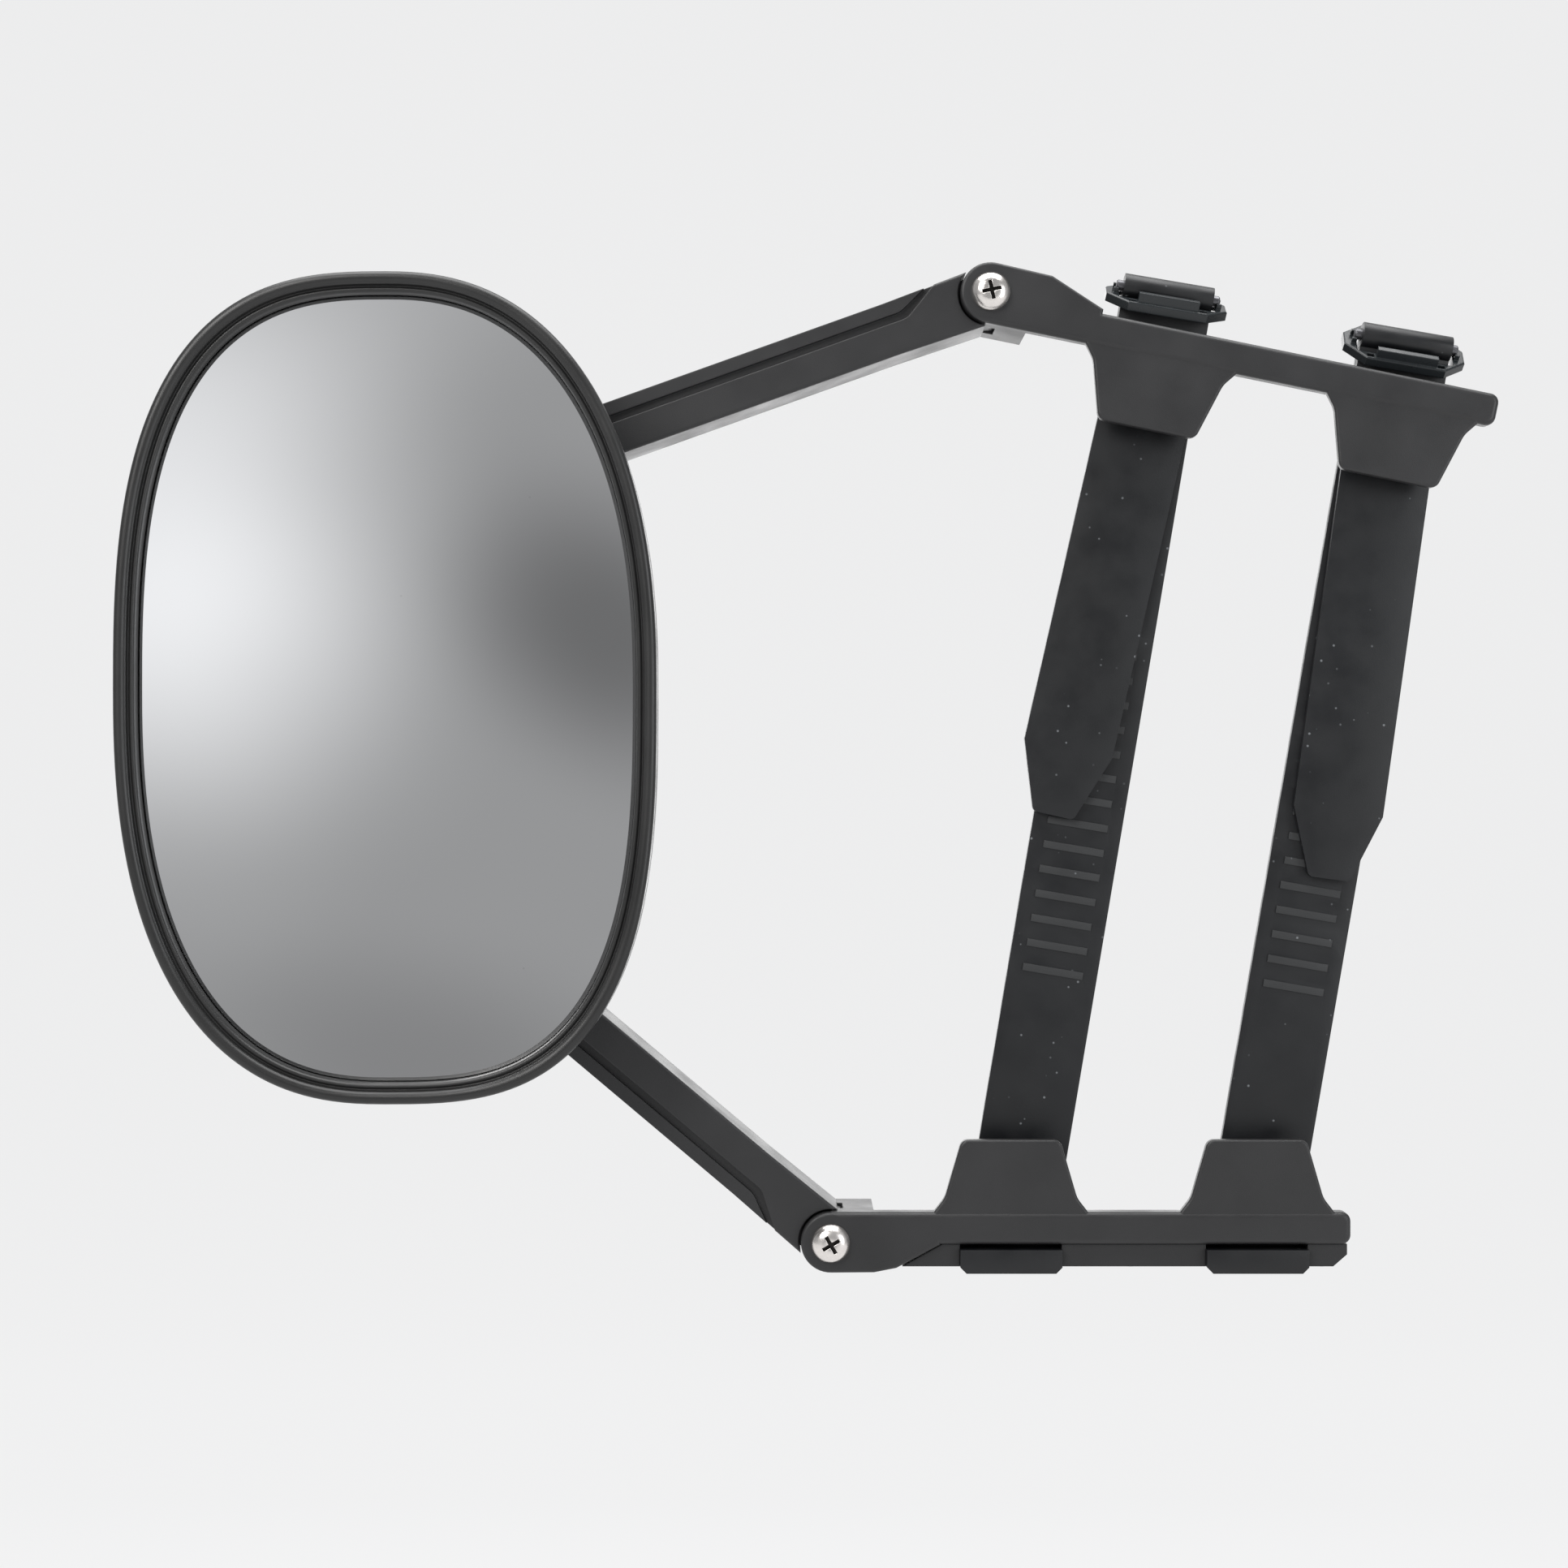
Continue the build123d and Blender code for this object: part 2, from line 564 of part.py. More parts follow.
def make_arm(which, far_hole):
    _, _, length, _ = arm_frame(which)
    half = ARM_HEIGHT / 2
    near = ARM_END_HEIGHT / 2
    arc = BOSS_RADIUS + 2 * GAP
    back = ARM_FRONT + ARM_DEPTH
    with BuildPart() as arm:
        outline = [(ARM_START, near), (ARM_START, -near), (ARM_TAPER, -half),
                   (length, -half), (length, half), (ARM_TAPER, half)]
        with BuildSketch(arm_plane(which, ARM_FRONT)):
            with BuildLine():
                Polyline(*outline, close=True)
            make_face()
            with Locations((length, 0)):
                Circle(half)
        extrude(amount=ARM_DEPTH, dir=BACK)
        fillet(front_edges(arm, ARM_FRONT), radius=ARM_ROUND)
        # the outer band of the front face is stepped back and turns out at the hinge
        step = [(ARM_STEP_OUT, -near - 1), (ARM_STEP_IN, ARM_STEP_LINE),
                (length + half + 1, ARM_STEP_LINE), (length + half + 1, -near - 1)]
        with BuildSketch(arm_plane(which, ARM_FRONT)) as band:
            with BuildLine():
                Polyline(*step, close=True)
            make_face()
            fillet(corners(band, step[1]), radius=ARM_STEP_RADIUS)
        extrude(amount=ARM_STEP, dir=BACK, mode=Mode.SUBTRACT)
        # groove that follows the foot of the step and turns out with it
        groove = [*step[:2], (length + half + 1, ARM_STEP_LINE),
                  (length + half + 1, ARM_STEP_LINE - ARM_GROOVE),
                  (ARM_STEP_IN + ARM_GROOVE / 2, ARM_STEP_LINE - ARM_GROOVE),
                  (ARM_STEP_OUT + ARM_GROOVE, -near - 1)]
        with BuildSketch(arm_plane(which, ARM_FRONT + ARM_STEP)) as channel:
            with BuildLine():
                Polyline(*groove, close=True)
            make_face()
            fillet(corners(channel, groove[1], groove[4]), radius=ARM_STEP_RADIUS)
        extrude(amount=ARM_GROOVE_DEEP, dir=BACK, mode=Mode.SUBTRACT)
        # open channel in the back, crossed by ribs
        bay = (length - ARM_CHANNEL_ENDS * 2) / ARM_RIBS
        with BuildSketch(arm_plane(which, back)):
            with Locations((length / 2, 0)):
                with GridLocations(bay, 1, ARM_RIBS, 1):
                    Rectangle(bay - ARM_WALL, ARM_HEIGHT - 2 * ARM_WALL)
        extrude(amount=ARM_DEPTH - ARM_STEP - ARM_GROOVE_DEEP - ARM_WALL, dir=(0, -1, 0),
                mode=Mode.SUBTRACT)
        # hinge end: the bar is cut round the rail's boss, and an eye goes between its ears
        with BuildSketch(arm_plane(which, ARM_FRONT - 1)):
            Circle(arc)
        extrude(amount=ARM_DEPTH + 2, dir=BACK, mode=Mode.SUBTRACT)
        with BuildSketch(arm_plane(which, EYE_FRONT)):
            Circle(ARM_EYE_RADIUS)
            with Locations(((arc + EYE_ROOT) / 2, 0)):
                Rectangle(arc + EYE_ROOT, 2 * (ARM_EYE_RADIUS - EYE_FLAT))
        extrude(amount=EYE_THICK, dir=BACK)
        with BuildSketch(arm_plane(which, EYE_FRONT)):
            Circle(SCREW_RADIUS + BUSH_WALL + RUN)
        extrude(amount=EYE_THICK, dir=BACK, mode=Mode.SUBTRACT)
        # head end: a fork over the bracket, with a hole for its bolt
        fork = BRACKET_THICK + 2 * GAP
        with BuildSketch(arm_plane(which, RAIL_MIDDLE - fork / 2)):
            with Locations((length, 0)):
                Rectangle(2 * FORK_REACH, 2 * ARM_END_HEIGHT)
        extrude(amount=fork, dir=BACK, mode=Mode.SUBTRACT)
        with BuildSketch(arm_plane(which, ARM_FRONT)):
            with Locations((length, 0)):
                Circle(far_hole)
        extrude(amount=ARM_DEPTH, dir=BACK, mode=Mode.SUBTRACT)
    return arm.part


# ---- bracket behind the head ----------------------------------------------------------------
def make_bracket():
    """Upright plate that joins both arms and carries the ball stud."""
    width = BRACKET_WIDTH / 2
    front = RAIL_MIDDLE - BRACKET_THICK / 2
    with BuildPart() as bracket:
        with BuildSketch(face_plane(HEAD_CENTRE, 0, front)):
            SlotCenterToCenter(2 * PIVOT_RISE, BRACKET_END_WIDTH, rotation=90)
            Circle(width)
        extrude(amount=BRACKET_THICK, dir=BACK)
        with BuildSketch(face_plane(HEAD_CENTRE, 0, BOSS_FRONT)):
            Circle(width - BOSS_INSET)
        extrude(amount=front - BOSS_FRONT, dir=BACK)
        # lightening pockets between the pivots and the stud, from the back
        with BuildSketch(face_plane(HEAD_CENTRE, 0, front + ARM_WALL)):
            with GridLocations(1, PIVOT_RISE + POCKET_SPREAD, 1, 2):
                Rectangle(BRACKET_END_WIDTH - 2 * ARM_WALL, POCKET_LENGTH)
        extrude(amount=BRACKET_THICK, dir=BACK, mode=Mode.SUBTRACT)
        with BuildSketch(face_plane(HEAD_CENTRE, 0, BOSS_FRONT)):
            Circle(STUD_RADIUS + SEAT)
        extrude(amount=RAIL_DEPTH, dir=BACK, mode=Mode.SUBTRACT)
        with BuildSketch(face_plane(HEAD_CENTRE, 0, front)):
            with GridLocations(1, 2 * PIVOT_RISE, 1, 2):
                Circle(SCREW_RADIUS + RUN)
        extrude(amount=BRACKET_THICK, dir=BACK, mode=Mode.SUBTRACT)
    return bracket.part


def make_ball_stud():
    """Steel ball with a neck, a flange and a threaded shank through the bracket."""
    with BuildPart() as stud:
        with BuildSketch(Plane(origin=(HEAD_CENTRE[0], 0, HEAD_CENTRE[1]),
                               x_dir=(1, 0, 0), z_dir=(0, 0, 1))):
            tail = RAIL_MIDDLE + BRACKET_THICK / 2 + WASHER_THICK + NUT_HEIGHT + STUD_PROUD
            flange = BOSS_FRONT - FLANGE_THICK
            reach = sqrt(BALL_RADIUS**2 - NECK_RADIUS**2)
            with BuildLine():
                ThreePointArc((0, BALL_Y - BALL_RADIUS), (BALL_RADIUS, BALL_Y),
                              (NECK_RADIUS, BALL_Y + reach))
                Polyline((NECK_RADIUS, BALL_Y + reach), (NECK_RADIUS, flange),
                         (2 * STUD_RADIUS, flange), (2 * STUD_RADIUS, BOSS_FRONT - SEAT),
                         (STUD_RADIUS, BOSS_FRONT - SEAT), (STUD_RADIUS, tail), (0, tail),
                         (0, BALL_Y - BALL_RADIUS))
            make_face()
        revolve(axis=Axis((HEAD_CENTRE[0], 0, HEAD_CENTRE[1]), (0, 1, 0)))
    return stud.part


def make_stud_nut():
    back = RAIL_MIDDLE + BRACKET_THICK / 2 + 2 * SEAT + WASHER_THICK
    with BuildPart() as nut:
        with BuildSketch(face_plane(HEAD_CENTRE, 0, back)):
            RegularPolygon(STUD_NUT_FLATS / 2, 6, major_radius=False)
            Circle(STUD_RADIUS + SEAT, mode=Mode.SUBTRACT)
        extrude(amount=NUT_HEIGHT, dir=BACK)
    return nut.part


def make_bracket_hardware():
    """Bolts, washers and lock nuts at the bracket's two pivots, and on the ball stud."""
    head_y = ARM_FRONT - SEAT
    back = ARM_FRONT + ARM_DEPTH + SEAT
    for which, centre in ((UPPER, UPPER_PIVOT), (LOWER, LOWER_PIVOT)):
        bolt = make_pan_screw(centre, head_y - WASHER_THICK - SEAT,
                              ARM_DEPTH + 2 * WASHER_THICK + NUT_HEIGHT + THREAD_PROUD, BOLT_TURN)
        finish(bolt, f"{which}_bracket_bolt")
        with BuildPart() as washers:
            add(make_ring(centre, head_y - WASHER_THICK, WASHER_THICK, SCREW_RADIUS + SEAT,
                          WASHER_RADIUS))
            add(make_ring(centre, back, WASHER_THICK, SCREW_RADIUS + SEAT, WASHER_RADIUS))
        finish(washers.part, f"{which}_bracket_washers")
        finish(make_nut(centre, back + WASHER_THICK + SEAT), f"{which}_bracket_nut")
    finish(make_stud_nut(), "ball_stud_nut")
    plate_back = RAIL_MIDDLE + BRACKET_THICK / 2 + SEAT
    finish(make_ring(HEAD_CENTRE, plate_back, WASHER_THICK, STUD_RADIUS + SEAT,
                     STUD_WASHER_RADIUS),
           "ball_stud_washer")


# ---- the mirror head ------------------------------------------------------------------------
def head_points(inset, share=(1.0, 1.0), count=36):
    """Rounded outline of the head: a superellipse with its own power in each corner."""
    half_x = (HEAD_HALF_WIDTH - inset) * share[0]
    half_z = (HEAD_HALF_HEIGHT - inset) * share[1]
    points = []
    for i in range(count):
        angle = 2 * pi * i / count
        power = 2 / CORNER_POWERS[4 * i // count]
        c, s = cos(angle), sin(angle)
        x = half_x * copysign(abs(c) ** power, c)
        z = half_z * copysign(abs(s) ** power, s)
        points.append((x, z))
    return points


def add_outline(inset, mode=Mode.ADD, share=(1.0, 1.0)):
    """Add the head's outline, drawn inwards by an inset, to the current sketch."""
    make_face(Edge.make_spline(head_points(inset, share), periodic=True), mode=mode)


def make_bezel():
    back = RIM_FRONT + BEZEL_DEPTH
    with BuildPart() as bezel:
        with BuildSketch(face_plane(HEAD_CENTRE, 0, RIM_FRONT)):
            add_outline(0)
            add_outline(RIM_BEAD, Mode.SUBTRACT)
        extrude(amount=BEZEL_DEPTH, dir=BACK)
        crown = bezel.edges().filter_by(lambda e: abs(e.center().Y - RIM_FRONT) < 0.01)
        fillet(crown.sort_by(SortBy.LENGTH)[-1], radius=RIM_ROUND)
        fillet(bezel.edges().filter_by(lambda e: abs(e.center().Y - RIM_FRONT) < 0.01)
               .sort_by(SortBy.LENGTH)[0], radius=RIM_LIP_ROUND)
        # the inner lip stands a little lower and holds the glass
        with BuildSketch(face_plane(HEAD_CENTRE, 0, RIM_FRONT + RIM_LIP_DROP)):
            add_outline(RIM_BEAD - RIM_LIP_ROUND)
            add_outline(RIM_WIDTH, Mode.SUBTRACT)
        extrude(amount=GLASS_FRONT - RIM_FRONT - RIM_LIP_DROP - SEAT, dir=BACK)
    return bezel.part


def make_glass():
    with BuildPart() as glass:
        with BuildSketch(face_plane(HEAD_CENTRE, 0, GLASS_FRONT)):
            add_outline(RIM_WIDTH - GLASS_LIP)
        extrude(amount=GLASS_THICK, dir=BACK)
    return glass.part


def make_adhesive_pad():
    with BuildPart() as pad:
        with BuildSketch(face_plane(HEAD_CENTRE, 0, GLASS_FRONT + GLASS_THICK + SEAT)):
            add_outline(PAD_INSET)
        extrude(amount=PAD_THICK, dir=BACK)
    return pad.part


def make_backing_plate():
    """Moulded plate that backs the glass; screws through the shell's posts hold its bosses."""
    front = GLASS_FRONT + GLASS_THICK + PAD_THICK + 2 * SEAT
    with BuildPart() as plate:
        with BuildSketch(face_plane(HEAD_CENTRE, 0, front)):
            add_outline(RIM_BEAD + GAP / 2)
        extrude(amount=PLATE_WALL, dir=BACK)
        with BuildSketch(face_plane(HEAD_CENTRE, 0, front + PLATE_WALL)):
            with GridLocations(2 * POST_X, 2 * POST_Z, 2, 2):
                Circle(POST_RADIUS)
        extrude(amount=PLATE_BOSS, dir=BACK)
        with BuildSketch(face_plane(HEAD_CENTRE, 0, front + PLATE_WALL)):
            with GridLocations(2 * POST_X, 2 * POST_Z, 2, 2):
                Circle(POST_SCREW_RADIUS)
        extrude(amount=PLATE_BOSS, dir=BACK, mode=Mode.SUBTRACT)
    return plate.part


def shell_loft(wall):
    """Shell form drawn inwards by a wall: straight sides, then a crown over the back."""
    front = RIM_FRONT + BEZEL_DEPTH + SEAT
    crown = SHELL_BACK - SHELL_SIDE_BACK
    with BuildPart() as form:
        for step in SHELL_STEPS:
            y = SHELL_SIDE_BACK + crown * sin(radians(90 * step)) - wall * step
            share = tuple(1 - (1 - s) * (1 - cos(radians(90 * step))) for s in SHELL_CROWN)
            with BuildSketch(face_plane(HEAD_CENTRE, 0, y)):
                add_outline(SHELL_INSET + wall, share=share)
        loft()
        with BuildSketch(face_plane(HEAD_CENTRE, 0, front)):
            add_outline(SHELL_INSET + wall)
        extrude(amount=SHELL_SIDE_BACK - front, dir=BACK)
    return form.part


def make_housing():
    pocket = SEAT_RADIUS + RUN
    outside_form = shell_loft(0)
    places = [(x, z) for x in (-POST_X, POST_X) for z in (-POST_Z, POST_Z)]
    with BuildPart() as posts:
        with BuildSketch(face_plane(HEAD_CENTRE, 0, POSTS_FRONT)):
            with Locations(*places):
                Circle(POST_RADIUS)
        extrude(amount=SHELL_BACK - POSTS_FRONT, dir=BACK)
        add(outside_form, mode=Mode.INTERSECT)
    inside = shell_loft(SHELL_WALL)
    with BuildPart() as housing:
        add(outside_form)
        add(inside, mode=Mode.SUBTRACT)
        # socket for the ball seat, on the inside of the crown
        with BuildSketch(face_plane(HEAD_CENTRE, 0, BALL_Y)):
            Circle(SOCKET_RADIUS)
        extrude(amount=SHELL_BACK - BALL_Y, dir=BACK)
        # posts for the backing plate's screws, counterbored from the back
        add(posts.part)
        with BuildSketch(face_plane(HEAD_CENTRE, 0, POSTS_FRONT)):
            with Locations(*places):
                Circle(POST_SCREW_RADIUS + SEAT)
        extrude(amount=SHELL_BACK - POSTS_FRONT, dir=BACK, mode=Mode.SUBTRACT)
        with BuildSketch(face_plane(HEAD_CENTRE, 0, POST_SEAT)):
            with Locations(*places):
                Circle(2 * POST_SCREW_RADIUS + GAP)
        extrude(amount=SHELL_BACK - POST_SEAT, dir=BACK, mode=Mode.SUBTRACT)
        with BuildSketch(face_plane(HEAD_CENTRE, 0, BALL_Y)):
            with PolarLocations(RING_SCREW_CIRCLE, 3, start_angle=90):
                Circle(POST_SCREW_RADIUS - THREAD_BITE)
        extrude(amount=RING_SCREW_DEPTH, dir=BACK, mode=Mode.SUBTRACT)
        with Locations((HEAD_CENTRE[0], BALL_Y, HEAD_CENTRE[1])):
            Sphere(pocket, mode=Mode.SUBTRACT)
    return housing.part


def make_clamp_ring():
    front = BALL_Y - RING_HEIGHT
    with BuildPart() as ring:
        with BuildSketch(face_plane(HEAD_CENTRE, 0, front)):
            Circle(SOCKET_RADIUS)
            with PolarLocations(RING_SCREW_CIRCLE, 3, start_angle=90):
                Circle(POST_SCREW_RADIUS + SEAT, mode=Mode.SUBTRACT)
        extrude(amount=RING_HEIGHT - SEAT, dir=BACK)
        with Locations((HEAD_CENTRE[0], BALL_Y, HEAD_CENTRE[1])):
            Sphere(SEAT_RADIUS + RUN, mode=Mode.SUBTRACT)
    return ring.part


def make_ball_seat():
    """Split plastic ring, spherical inside and out, between the ball and its socket."""
    with BuildPart() as seat:
        with BuildSketch(face_plane(HEAD_CENTRE, 0, BALL_Y - SEAT_HALF)):
            Circle(SEAT_RADIUS + SEAT_BLANK)
        extrude(amount=2 * SEAT_HALF, dir=BACK)
        with Locations((HEAD_CENTRE[0], BALL_Y, HEAD_CENTRE[1])):
            Sphere(SEAT_RADIUS, mode=Mode.INTERSECT)
            Sphere(BALL_RADIUS + RUN, mode=Mode.SUBTRACT)
        with BuildSketch(face_plane(HEAD_CENTRE, 0, BALL_Y - SEAT_HALF - 1)):
            with Locations((0, SEAT_RADIUS)):
                Rectangle(SPLIT_WIDTH, SEAT_RADIUS)
        extrude(amount=2 * SEAT_HALF + 2, dir=BACK, mode=Mode.SUBTRACT)
    return seat.part


def make_small_screws(places, y, length, radius, way):
    """Self-tapping screws, heads seated at y, shanks pointing back (way 1) or forward (-1)."""
    point = (0, way, 0)
    head = y - way * SEAT
    with BuildPart() as screws:
        with BuildSketch(face_plane(HEAD_CENTRE, 0, head)):
            with Locations(*places):
                Circle(radius)
        extrude(amount=length, dir=point)
        with BuildSketch(face_plane(HEAD_CENTRE, 0, head)):
            with Locations(*places):
                Circle(2 * POST_SCREW_RADIUS)
        extrude(amount=SMALL_HEAD, dir=(0, -way, 0))
        with BuildSketch(face_plane(HEAD_CENTRE, 0, head - way * SMALL_HEAD)):
            with Locations(*places):
                Rectangle(CROSS_LENGTH, CROSS_WIDTH)
                Rectangle(CROSS_WIDTH, CROSS_LENGTH)
        extrude(amount=CROSS_DEPTH, dir=point, mode=Mode.SUBTRACT)
    return screws.part


def make_head():
    finish(make_housing(), "mirror_housing")
    finish(make_bezel(), "mirror_bezel")
    finish(make_glass(), "mirror_glass")
    finish(make_adhesive_pad(), "glass_adhesive_pad")
    finish(make_backing_plate(), "glass_backing_plate")
    finish(make_clamp_ring(), "socket_clamp_ring")
    finish(make_ball_seat(), "ball_seat")
    turns = [radians(90 + 120 * i) for i in range(3)]
    ring = [(RING_SCREW_CIRCLE * cos(a), RING_SCREW_CIRCLE * sin(a)) for a in turns]
    thread = POST_SCREW_RADIUS - THREAD_BITE - SEAT
    finish(make_small_screws(ring, BALL_Y - RING_HEIGHT, RING_HEIGHT + RING_SCREW_DEPTH - 2.0, thread, 1),
           "clamp_ring_screws")
    posts = [(x, z) for x in (-POST_X, POST_X) for z in (-POST_Z, POST_Z)]
    reach = POST_SEAT - PLATE_BACK - GAP
    finish(make_small_screws(posts, POST_SEAT, reach, POST_SCREW_RADIUS - SEAT, -1),
           "housing_screws")


# ---- straps and buckles ---------------------------------------------------------------------
def strap_ends(side):
    low = rail_point(LOWER, TONGUE_PLACES[side], ANCHOR_TOP)
    high = rail_point(UPPER, TONGUE_PLACES[side], RAIL_INNER)
    span = hypot(high[0] - low[0], high[1] - low[1])
    lean = degrees(atan2(high[0] - low[0], high[1] - low[1]))
    return low, high, span, lean


def strap_side_plane(side):
    """Plane of a strap's side view: x is the depth, y runs up the strap from its anchor."""
    low, _, _, lean = strap_ends(side)
    a = radians(lean)
    return Plane(origin=(low[0], 0, low[1]), x_dir=(0, 1, 0), z_dir=(cos(a), 0, -sin(a)))


def make_strap(side):
    _, high, span, lean = strap_ends(side)
    pin = span + BAR_HEIGHT + PIN_HEIGHT
    roll = BUCKLE_PIN_RADIUS + SEAT + STRAP_THICK
    with BuildPart() as strap:
        with BuildSketch(strap_side_plane(side)):
            with Locations((STRAP_MAIN_Y + STRAP_THICK / 2, (STRAP_FOOT + pin) / 2)):
                Rectangle(STRAP_THICK, pin - STRAP_FOOT)
            neck = span - TAIL_ROOT
            with Locations((STRAP_TAIL_Y + STRAP_THICK / 2, (neck + pin) / 2)):
                Rectangle(STRAP_THICK, pin - neck)
            with Locations((PIN_Y - SEAT, pin)):
                Circle(roll)
                Circle(BUCKLE_PIN_RADIUS + SEAT, mode=Mode.SUBTRACT)
        extrude(amount=STRAP_WIDTH / 2, both=True)
        # ladder ribs on the front of the main run
        with BuildSketch(strap_side_plane(side)):
            for i in range(RIB_COUNT):
                with Locations((STRAP_MAIN_Y, RIB_STARTS[side] + i * RIB_PITCH)):
                    Rectangle(2 * RIB_THICK, RIB_HEIGHT)
        extrude(amount=RIB_LENGTH / 2, both=True)
        # free tail, which hangs in front of the main run
        drop = face_plane(high, 180 - lean - TAIL_SPLAYS[side], STRAP_TAIL_Y)
        half = STRAP_WIDTH / 2
        tip = half - TAIL_TAPER
        length = TAIL_LENGTHS[side]
        outline = [(half, TAIL_ROOT), (half, length - TAIL_POINT), (tip, length),
                   (-tip, length), (-half, length - TAIL_POINT), (-half, TAIL_ROOT)]
        with BuildSketch(drop) as tail:
            with BuildLine():
                Polyline(*outline, close=True)
            make_face()
            fillet(corners(tail, outline[2], outline[3]), radius=TAIL_CORNER)
        extrude(amount=STRAP_THICK, dir=BACK)
        # anchor head in its pocket under the lower rail
        with BuildSketch(rail_plane(LOWER, ANCHOR_FRONT)) as anchor:
            with Locations((TONGUE_PLACES[side], (ANCHOR_TOP + ANCHOR_BOTTOM) / 2)):
                Rectangle(ANCHOR_WIDTH, ANCHOR_TOP - ANCHOR_BOTTOM)
            low_corners = anchor.vertices().sort_by(Axis.Y)[:2]
            chamfer(low_corners, length=ANCHOR_CHAMFER)
        extrude(amount=SLOT_BACK - SEAT - ANCHOR_FRONT, dir=BACK)
    return strap.part


def buckle_frame(side):
    """Axis of a buckle's pin, and the sketch plane of its plate's underside."""
    low, _, span, lean = strap_ends(side)
    a = radians(lean)
    lift = radians(PLATE_LIFTS[side])
    up = Vector(sin(a), 0, cos(a))
    pin = Vector(low[0], PIN_Y - SEAT, low[1]) + up * (span + BAR_HEIGHT + PIN_HEIGHT)
    normal = up * cos(lift) + Vector(0, -sin(lift), 0)
    top = pin - normal * (BUCKLE_PIN_RADIUS + SEAT)
    under = top - normal * PLATE_THICK
    return pin, Plane(origin=under, x_dir=(cos(a), 0, -sin(a)), z_dir=normal)


def make_buckle_plate(side):
    """Eight-sided plate with a window for the strap and a ridge in front of the pin."""
    _, plane = buckle_frame(side)
    w, d, c = PLATE_WIDTH / 2, PLATE_DEPTH / 2, PLATE_CORNER
    lift = radians(PLATE_LIFTS[side])
    stack = (STRAP_TAIL_Y + STRAP_MAIN_Y + STRAP_THICK) / 2
    drop = BUCKLE_PIN_RADIUS + SEAT + PLATE_THICK / 2
    window = (stack - PIN_Y - drop * sin(lift)) / cos(lift)
    front_bar = (window - WINDOW_DEPTH / 2 - d) / 2
    with BuildPart() as plate:
        with BuildSketch(plane) as face:
            Rectangle(2 * w, 2 * d)
            chamfer(face.vertices(), length=c)
            with Locations((0, window)):
                Rectangle(STRAP_PASS, WINDOW_DEPTH, mode=Mode.SUBTRACT)
            with Locations((0, front_bar)):
                with GridLocations(RIDGE_LENGTH + NOTCH_WIDTH + 1.0, 1, 2, 1):
                    Rectangle(NOTCH_WIDTH, NOTCH_DEPTH, mode=Mode.SUBTRACT)
        extrude(amount=PLATE_THICK)
        chamfer(plate.faces().sort_by(plane_axis(plane))[-1].outer_wire().edges(),
                length=PIN_CHAMFER)
        with BuildSketch(plane.offset(PLATE_THICK)):
            with Locations((0, front_bar)):
                Rectangle(RIDGE_LENGTH, RIDGE_WIDTH)
        extrude(amount=RIDGE_HEIGHT)
        # cradles that keep the pin's ends in place
        with BuildSketch(plane.offset(PLATE_THICK)):
            for sign in (-1, 1):
                with Locations((0, sign * (BUCKLE_PIN_RADIUS + CRADLE_WALL / 2 + SEAT + 0.2))):
                    with GridLocations(STRAP_PASS + CRADLE_WIDTH + 0.6, 1, 2, 1):
                        Rectangle(CRADLE_WIDTH, CRADLE_WALL)
        extrude(amount=BUCKLE_PIN_RADIUS)
    return plate.part


def plane_axis(plane):
    return Axis(plane.origin, plane.z_dir)


def make_buckle_pin(side):
    pin, _ = buckle_frame(side)
    a = radians(strap_ends(side)[3])
    with BuildPart() as rod:
        along = Plane(origin=pin, x_dir=(0, 1, 0), z_dir=(cos(a), 0, -sin(a)))
        with BuildSketch(along):
            Circle(BUCKLE_PIN_RADIUS)
        extrude(amount=BUCKLE_PIN_LENGTH / 2, both=True)
        chamfer(rod.edges().filter_by(GeomType.CIRCLE), length=PIN_CHAMFER)
    return rod.part


def main():
    for which in (UPPER, LOWER):
        finish(make_rail(which), f"{which}_rail")
        finish(make_tongue_pads(which), f"{which}_tongue_pads")
        finish(make_grip_strip(which), f"{which}_grip_strip")
    finish(make_lower_cover(), "lower_rail_cover")
    finish(make_cover_screws(), "cover_screws")
    make_hinge_hardware(UPPER, UPPER_HINGE, SCREW_TURNS[0])
    make_hinge_hardware(LOWER, LOWER_HINGE, SCREW_TURNS[1])
    finish(make_arm(UPPER, SCREW_RADIUS + OPEN_PIVOT_GAP), "upper_arm")
    finish(make_arm(LOWER, SCREW_RADIUS + RUN), "lower_arm")
    finish(make_bracket(), "head_bracket")
    finish(make_ball_stud(), "ball_stud")
    make_bracket_hardware()
    make_head()
    for side, name in enumerate(("left", "right")):
        finish(make_strap(side), f"{name}_strap")
        finish(make_buckle_plate(side), f"{name}_buckle_plate")
        finish(make_buckle_pin(side), f"{name}_buckle_pin")


main()
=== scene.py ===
# %% [markdown]
# # A clip-on towing mirror
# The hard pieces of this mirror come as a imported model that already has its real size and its
# joints.  This lesson gives them plastic, rubber, steel and glass that look real, and models again
# the pieces that need more than the plain solids show: the rim round the glass, the glass with its
# ground edge, and the rubber straps.  Everything is in metres, in the model's frame.

